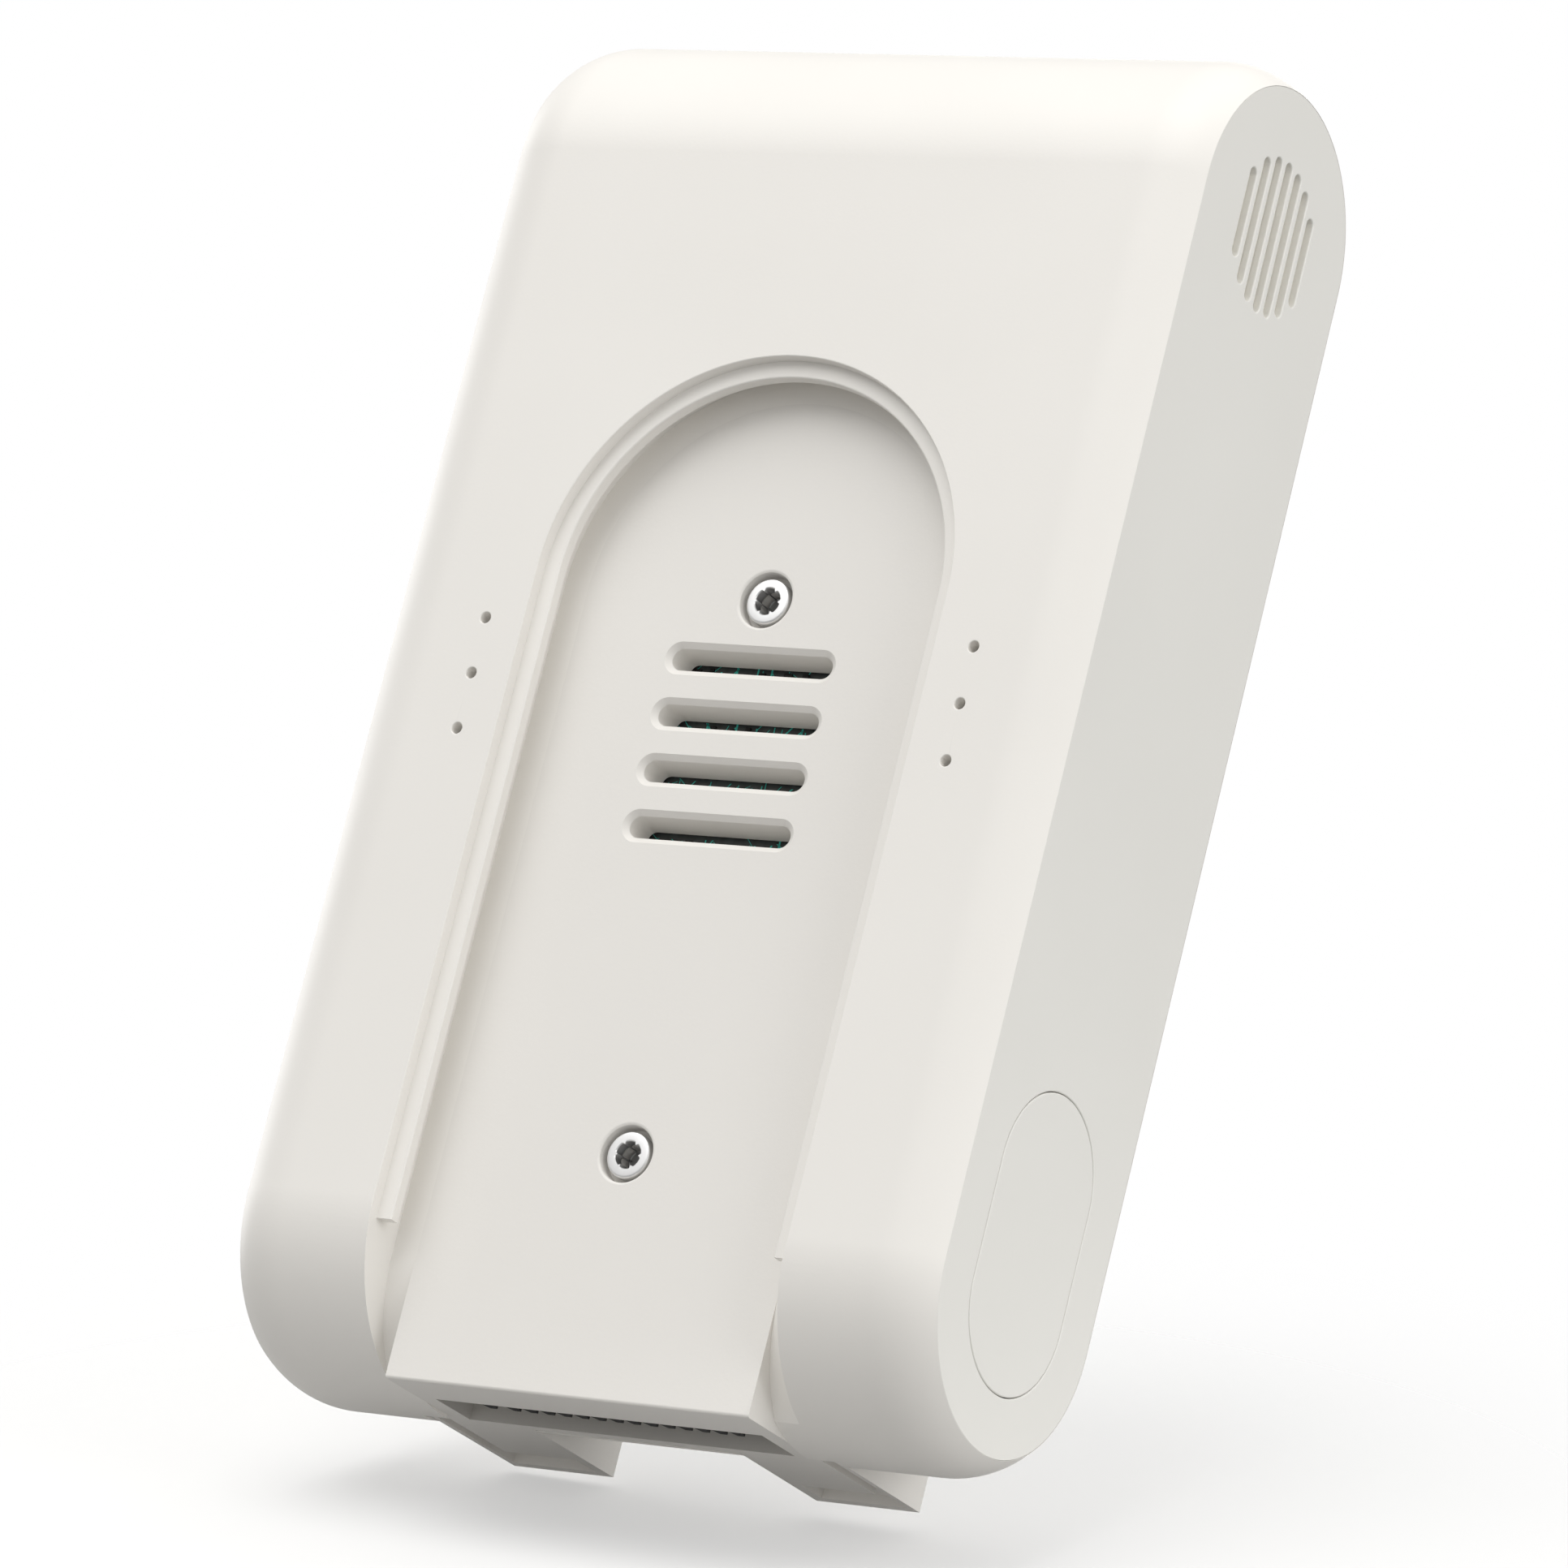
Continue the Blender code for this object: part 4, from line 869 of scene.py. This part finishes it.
def foot_profile():
    """A foot from the side: it hugs the sleeve's end and stands proud in front of it."""
    radius = RADIUS + GAP
    first = math.degrees(math.asin((-FOOT_TOP_Z - ARC_CENTRE) / radius))
    hug = arc((0, -ARC_CENTRE), radius, 180 + first, FOOT_HUG_END, 24)
    low = BOTTOM_Z - OVERCUT / 2
    front = arc((FOOT_FRONT_Y + FOOT_EDGE, hug[-1][1] - FOOT_EDGE), FOOT_EDGE, 90, 180, 4)
    return [(FOOT_REAR_Y, low), (FOOT_REAR_Y, FOOT_TOP_Z)] + hug + front + [(FOOT_FRONT_Y, low)]


def make_screws():
    """Pan heads with a rounded edge and a countersunk six-lobe socket."""
    for name, height in (("upper", UPPER_SCREW_Z), ("lower", LOWER_SCREW_Z)):
        profile = [(0, HEAD_TOP), (HEAD_RADIUS - HEAD_ROUND, HEAD_TOP)]
        for angle in fan(5):
            radius = HEAD_RADIUS - HEAD_ROUND * (1 - math.sin(angle))
            profile.append((radius, HEAD_TOP - HEAD_ROUND * (1 - math.cos(angle))))
        profile += [(HEAD_RADIUS, HEAD_BOTTOM), (SHANK_RADIUS, HEAD_BOTTOM)]
        profile += [(SHANK_RADIUS, SHANK_END), (0, TIP_END)]
        screw = turned(f"pan_screw_{name}", profile, "+Y", (0, FLOOR_Y, height))
        socket = HEAD_TOP - SOCKET_DEPTH
        levels = [(-0.3, socket - 0.2), (0, socket)]
        levels += [(0, HEAD_TOP - 0.1), (0.1, HEAD_TOP), (0.15, HEAD_TOP + CLEAR)]
        carve(screw, [layered("socket", six_lobe, levels, "Y", (0, FLOOR_Y, height))])
        soften(screw)
        dress(screw, SCREW_LOOK, replaces=[f"chassis_screw_{name}"])


def fan(steps):
    """Angles that divide a quarter turn."""
    return [math.pi / 2 * i / steps for i in range(steps + 1)]


def six_lobe(grow=0.0, steps=96):
    """The outline of a six-lobed driver socket."""
    points = []
    for i in range(steps):
        angle = 2 * math.pi * i / steps
        ridge = ((1 + math.cos(6 * angle)) / 2) ** LOBE_SHARPNESS
        reach = (SOCKET_RADIUS + grow) * (1 - LOBE_DEPTH * ridge)
        points.append((reach * math.cos(angle), reach * math.sin(angle)))
    return points


def make_dock_connector():
    """The black comb: tapered fingers that come down to the mouth's edge, on a strip set higher up."""
    tip = FINGER_BACK_Y - FINGER_REACH
    low = (COMB_LEFT_X, FINGER_BACK_Y - COMB_THICKNESS, BOTTOM_Z + COMB_LOW)
    comb = block("finger_comb", low, (COMB_RIGHT_X, FINGER_BACK_Y, BOTTOM_Z + COMB_HIGH))
    half = [(FINGER_ROOT, FINGER_BACK_Y), (FINGER_WIDE, tip + 0.08), (FINGER_TIP, tip)]
    profile = half + [(-x, y) for x, y in reversed(half)]
    levels = [(0, BOTTOM_Z + FINGER_LOW), (0, BOTTOM_Z + FINGER_HIGH)]
    fingers = []
    for middle in [FINGER_APART_X] + [FINGER_FIRST_X - FINGER_PITCH * i for i in range(FINGER_COUNT)]:
        outline = [(middle + x, y) for x, y in profile]
        fingers.append(layered("finger", fixed(outline), levels, "Z"))
    carve(comb, fingers, "UNION")
    soften(comb)
    dress(comb, BLACK_LOOK, replaces=["dock_connector"])


# ---------------------------------------------------------------- board seen through the vents


def make_main_board():
    """The board behind the vents, with traces and small components."""
    low, high = ((Vector(corner) - MIDDLE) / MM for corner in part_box("main_board"))
    face = high.y - BOARD_INSET
    outline = rounded(high.x, (high.z - low.z) / 2, BOARD_CORNER)
    board = layered("main_board_panel", outline, [(0, low.y), (0, face)], "Y")
    levels = [(0, low.y - CLEAR), (0, high.y + CLEAR)]
    carve(board, [layered("boss_hole", circle(BOSS_HOLE), levels, "Y", (0, 0, UPPER_SCREW_Z))])
    soften(board)
    dress(board, BOARD_LOOK, replaces=["main_board"])

    rng = random.Random(7)
    traces = []
    chips = []
    for i in range(VENT_COUNT):
        base = VENT_TOP_Z - i * VENT_PITCH - VENT_HEIGHT / 2
        x = TRACE_START
        while x < TRACE_END:
            step = rng.uniform(0.35, 1.5)
            wide = rng.choice((0.07, 0.1, 0.18))
            lean = rng.choice((-0.9, -0.4, 0.0, 0.0, 0.9))
            low_end = base + rng.uniform(0.9, 1.8)
            traces.append(strip(x, low_end, x + lean, low_end + rng.uniform(0.4, 1.2), wide, face))
            if rng.random() < CHIP_CHANCE:
                z = base + rng.uniform(1.4, 2.5)
                chips.append(chip_body(x, z, rng.uniform(0.4, 1.1), rng.uniform(0.2, 0.4), face))
            x += step
    join_pieces("board_traces", traces, TEAL_LOOK)
    join_pieces("board_components", chips, BLACK_LOOK)


def strip(x0, z0, x1, z1, wide, face):
    """A trace: a thin raised strip between two points of the board's face."""
    points = [(x0, z0), (x0 + wide, z0), (x1 + wide, z1), (x1, z1)]
    return layered("trace", fixed(points), [(0, face - SUNK), (0, face + TRACE_HEIGHT)], "Y")


def chip_body(x, z, wide, tall, face):
    """A small surface-mounted component with rounded edges."""
    outline = rounded(wide / 2, tall / 2, CHIP_EDGE, 2)
    return layered("chip", outline, eased(face - SUNK, face + CHIP_HEIGHT, 0, CHIP_EDGE, 2), "Y", (x, 0, z))


def join_pieces(name, parts, look):
    """Many small solids as one piece."""
    graph = bmesh.new()
    for part in parts:
        graph.from_mesh(part.data)
        mesh = part.data
        bpy.data.objects.remove(part)
        bpy.data.meshes.remove(mesh)
    mesh = bpy.data.meshes.new(name)
    graph.to_mesh(mesh)
    graph.free()
    obj = bpy.data.objects.new(name, mesh)
    bpy.context.scene.collection.objects.link(obj)
    soften(obj)
    dress(obj, look)


# ---------------------------------------------------------------- front


def make_front():
    """The fascia, with its camera, motion lens and bell button."""
    levels = eased(FASCIA_Y, -RADIUS - SEAM, FASCIA_EDGE, 0.0, 6)
    outline = rounded(FASCIA_HALF, FASCIA_REACH, FASCIA_CORNER, 16, FASCIA_Z)
    fascia = layered("fascia_plate", outline, levels, "Y")
    inset = WINDOW_CORNER + GAP
    spigot = rounded(WINDOW_HALF - GAP, FASCIA_REACH - inset, WINDOW_CORNER, 12, FASCIA_Z)
    rear = layered("spigot", spigot, [(0, -RADIUS - SPIGOT_START), (0, -RADIUS + SPIGOT_LENGTH)], "Y")
    carve(fascia, [rear], "UNION")
    back = -RADIUS + WAY_DEPTH
    camera = rounded(*(size + WAY_GAP for size in CAMERA_PANE), 24, CAMERA_Z)
    motion = rounded(*(size + WAY_GAP for size in MOTION_LENS), 16, MOTION_Z)
    bell = circle(RING_WAY, 96)
    cutters = [layered("camera_way", camera, flared(back, FASCIA_Y, WAY_EDGE), "Y")]
    cutters.append(layered("motion_way", motion, flared(back, FASCIA_Y, MOTION_EDGE), "Y"))
    cutters.append(layered("bell_way", bell, flared(back, FASCIA_Y, WAY_EDGE), "Y", (0, 0, BELL_Z)))
    carve(fascia, cutters)
    soften(fascia, angle=28)
    dress(fascia, CAP_LOOK, replaces=["front_fascia"])
    make_camera_window()
    make_motion_lens()
    make_bell()


def make_camera_window():
    """The tinted pane, the stepped lens barrel and the front lens."""
    pane_face = FASCIA_Y + PANE_SUNK
    levels = eased(pane_face, FASCIA_Y + PANE_DEPTH, PANE_EDGE, 0.0)
    pane = layered("tinted_pane", rounded(*CAMERA_PANE, 24, CAMERA_Z), levels, "Y")
    levels = flared(FASCIA_Y + 3, pane_face, PANE_EDGE)
    carve(pane, [layered("lens_way", circle(LENS_WAY, 64), levels, "Y", (0, 0, CAMERA_Z))])
    soften(pane, angle=28)
    dress(pane, GLASS_LOOK, replaces=["camera_window"])

    at_lens = (0, FASCIA_Y + LENS_SUNK, CAMERA_Z)
    barrel = [(5.6, 1.3), (5.9, 1.3), (6.0, 1.2), (6.0, -7.0), (3.0, -7.0), (3.0, -3.0)]
    barrel += [(3.6, -2.4), (3.9, -2.4), (4.2, -1.8), (4.7, -1.3), (4.85, -0.5), (5.1, -0.4)]
    barrel += [(5.3, 0.2), (5.6, 1.3)]
    ring = turned("lens_barrel_ring", barrel, "-Y", at_lens)
    soften(ring)
    dress(ring, BLACK_LOOK, replaces=["camera_lens_barrel"])
    dome = [(4.5 * math.sin(a), -0.55 + 1.75 * math.cos(a)) for a in fan(16)]
    lens = turned("front_lens_dome", dome + [(2.2, -2.5), (0, -2.5)], "-Y", at_lens)
    soften(lens)
    dress(lens, LENS_LOOK, replaces=["camera_front_lens"])


def make_motion_lens():
    """The milky lens with a row of round facets."""
    levels = [(grow, FASCIA_Y + sunk) for grow, sunk in MOTION_CROWN]
    lens = layered("motion_lens", rounded(*MOTION_LENS, 16, MOTION_Z), levels, "Y")
    facets = []
    for k in range(-FACETS_EACH_SIDE, FACETS_EACH_SIDE + 1):
        levels = [(0.25, FASCIA_Y - CLEAR), (0, FASCIA_Y + 0.12)]
        spot = (k * FACET_PITCH, 0, MOTION_Z)
        facets.append(layered("facet", circle(FACET_RADIUS, 24), levels, "Y", spot))
    carve(lens, facets)
    soften(lens)
    dress(lens, MILKY_LOOK, replaces=["motion_sensor_lens"])


def make_bell():
    """The dished bell button in its light ring."""
    at_bell = (0, FASCIA_Y, BELL_Z)
    ring = [(RING_INNER, RING_SHOULDER), (BELL_RADIUS + 0.45, RING_TOP), (BELL_RADIUS + 1.95, RING_TOP)]
    ring += [(RING_OUTER, RING_SHOULDER), (RING_OUTER, RING_BOTTOM), (RING_INNER, RING_BOTTOM), ring[0]]
    glow = turned("light_ring", ring, "-Y", at_bell, 96)
    soften(glow)
    dress(glow, MILKY_LOOK, replaces=["bell_light_ring"])
    dish = BELL_RADIUS - BELL_ROUND
    face = [(dish * i / 16, -0.8 + 0.75 * (i / 16) ** 2) for i in range(17)]
    face += [(dish + BELL_ROUND * math.sin(a), -0.6 + 0.55 * math.cos(a)) for a in fan(6)]
    face += [(BELL_RADIUS, -2.0), (1.6, -2.0), (1.6, -3.0), (0, -3.0)]
    cap = turned("bell_cap", face, "-Y", at_bell, 96)
    soften(cap)
    dress(cap, CAP_LOOK, "bell_button", ["bell_button_cap"])


# ---------------------------------------------------------------- stage

# The photograph's viewpoint: degrees round and above the body's middle, roll, and distance in millimetres.
VIEW_TURN = 213.184
VIEW_RISE = -15.793
VIEW_ROLL = 14.051
VIEW_DISTANCE = 958.46
VIEW_SHIFT = (1.277, -4.494)
LENS = 219.63
SENSOR = 36.0


def view_axes():
    """The camera's right, up and backward directions."""
    turn = math.radians(VIEW_TURN)
    rise = math.radians(VIEW_RISE)
    back = Vector((math.sin(turn) * math.cos(rise), -math.cos(turn) * math.cos(rise), math.sin(rise)))
    right = (-back).cross(Vector((0, 0, 1))).normalized()
    up = right.cross(-back)
    roll = math.radians(VIEW_ROLL)
    level = math.cos(roll) * right + math.sin(roll) * up
    rolled = -math.sin(roll) * right + math.cos(roll) * up
    return level, rolled, back


def make_camera():
    """The camera at the photograph's viewpoint."""
    right, up, back = view_axes()
    spot = MIDDLE + MM * (VIEW_DISTANCE * back - VIEW_SHIFT[0] * right + VIEW_SHIFT[1] * up)
    data = bpy.data.cameras.new("view")
    data.lens = LENS
    data.sensor_width = SENSOR
    data.clip_start = 0.05
    data.clip_end = 20
    camera = bpy.data.objects.new("view", data)
    camera.matrix_world = Matrix.Translation(spot) @ Matrix((right, up, back)).transposed().to_4x4()
    bpy.context.scene.collection.objects.link(camera)
    bpy.context.scene.camera = camera


# The floor leans with the body, which rests on the front edges of its feet.
FLOOR_NORMAL = Vector((-0.03, 0.49, 0.87)).normalized()
FLOOR_DROP = 0.9
FLOOR_SHIFT = 30

# The floor's size and fade in metres. At its middle it is FLOOR_SHOWN opaque to the camera, and FLOOR_BOUNCE
# times that to other rays.
FLOOR_RADIUS = 0.30
FADE_START = 0.04
FADE_END = 0.145
FLOOR_SHOWN = 0.6
FLOOR_BOUNCE = 0.75

# The light. Along the floor's normal the sky's strength rises from nothing at SKY_LOW to full at SKY_HIGH.
SOFT_WHITE = (1.0, 0.995, 0.985)
SKY_LOW = -0.9
SKY_HIGH = 0.8
SKY_STRENGTH = 0.74


def make_floor():
    """A pale patch under the feet that fades out, and can't be seen from below."""
    toe = Vector((FOOT_INNER, FOOT_FRONT_Y, BOTTOM_Z))
    drop = toe.dot(FLOOR_NORMAL) - FLOOR_DROP
    along = Vector((1, 0, 0))
    across = FLOOR_NORMAL.cross(along).normalized()
    along = across.cross(FLOOR_NORMAL)
    centre = FLOOR_NORMAL * drop + across * FLOOR_SHIFT
    graph = bmesh.new()
    bmesh.ops.create_circle(graph, cap_ends=True, segments=96, radius=FLOOR_RADIUS)
    basis = Matrix((along, across, FLOOR_NORMAL)).transposed().to_4x4()
    mesh = bpy.data.meshes.new("floor")
    graph.to_mesh(mesh)
    graph.free()
    floor = bpy.data.objects.new("floor", mesh)
    floor.matrix_world = Matrix.Translation(MIDDLE + centre * MM) @ basis
    bpy.context.scene.collection.objects.link(floor)
    floor.data.materials.append(floor_look())


def floor_look():
    """Pale and matt, and clearer with distance from the middle."""
    made, tree, shader, where = base_material("pale_floor", (0.9, 0.9, 0.89), roughness=0.8)
    tint(tree, shader, noise(tree, where, scale=6.0), (0.895, 0.892, 0.885), (0.905, 0.903, 0.898))
    distance = tree.nodes.new("ShaderNodeVectorMath")
    distance.operation = "LENGTH"
    tree.links.new(where, distance.inputs[0])
    fade = remap(tree, distance.outputs["Value"], FLOOR_SHOWN, 0.0, FADE_START, FADE_END, "SMOOTHSTEP")
    below = tree.nodes.new("ShaderNodeNewGeometry").outputs["Backfacing"]
    from_above = combine(tree, "MULTIPLY", fade, combine(tree, "SUBTRACT", 1.0, below))
    camera_ray = tree.nodes.new("ShaderNodeLightPath").outputs["Is Camera Ray"]
    share = remap(tree, camera_ray, FLOOR_BOUNCE, 1.0, 0.0, 1.0)
    tree.links.new(combine(tree, "MULTIPLY", from_above, share), shader.inputs["Alpha"])
    return made


def make_light(name, place, size, power, colour=(1, 1, 1)):
    """A soft disc aimed at the body, at a place in metres from the body's middle."""
    spot = MIDDLE + Vector(place)
    data = bpy.data.lights.new(name, "AREA")
    data.shape = "DISK"
    data.size = size
    data.energy = power
    data.color = colour
    lamp = bpy.data.objects.new(name, data)
    lamp.location = spot
    lamp.rotation_euler = (MIDDLE - spot).to_track_quat("-Z", "Y").to_euler()
    bpy.context.scene.collection.objects.link(lamp)


def make_world():
    """White to look at; as light, brighter from above than from below."""
    world = bpy.data.worlds.new("studio")
    bpy.context.scene.world = world
    world.use_nodes = True
    tree = world.node_tree
    tree.nodes.clear()
    output = tree.nodes.new("ShaderNodeOutputWorld")
    where = tree.nodes.new("ShaderNodeTexCoord").outputs["Generated"]
    height = tree.nodes.new("ShaderNodeVectorMath")
    height.operation = "DOT_PRODUCT"
    height.inputs[1].default_value = FLOOR_NORMAL
    tree.links.new(where, height.inputs[0])
    strength = remap(tree, height.outputs["Value"], 0.0, SKY_STRENGTH, SKY_LOW, SKY_HIGH)
    ambient = tree.nodes.new("ShaderNodeBackground")
    ambient.inputs["Color"].default_value = (*SOFT_WHITE, 1)
    tree.links.new(strength, ambient.inputs["Strength"])
    white = tree.nodes.new("ShaderNodeBackground")
    white.inputs["Color"].default_value = (1, 1, 1, 1)
    seen = tree.nodes.new("ShaderNodeLightPath")
    mix = tree.nodes.new("ShaderNodeMixShader")
    tree.links.new(seen.outputs["Is Camera Ray"], mix.inputs[0])
    tree.links.new(ambient.outputs["Background"], mix.inputs[1])
    tree.links.new(white.outputs["Background"], mix.inputs[2])
    tree.links.new(mix.outputs["Shader"], output.inputs["Surface"])
    bpy.context.scene.view_settings.view_transform = "Standard"


make_camera()
dress_cad_nodes()
make_shell()
make_side_caps()
make_side_button()
make_grille_screen()
make_chassis()
make_screws()
make_dock_connector()
make_main_board()
make_front()
make_floor()
make_world()
make_light("key", (0.22, 0.74, 0.76), size=1.1, power=6.1, colour=SOFT_WHITE)
make_light("side_fill", (-1.0, -0.1, 0.15), size=0.7, power=2.6, colour=SOFT_WHITE)
make_light("grazing", (-0.9, 0.36, 0.2), size=0.6, power=1.9, colour=SOFT_WHITE)
make_light("front_fill", (0.35, -1.0, 0.38), size=0.8, power=4.4)
make_light("far_side_fill", (1.0, -0.25, 0.25), size=0.7, power=2.7)
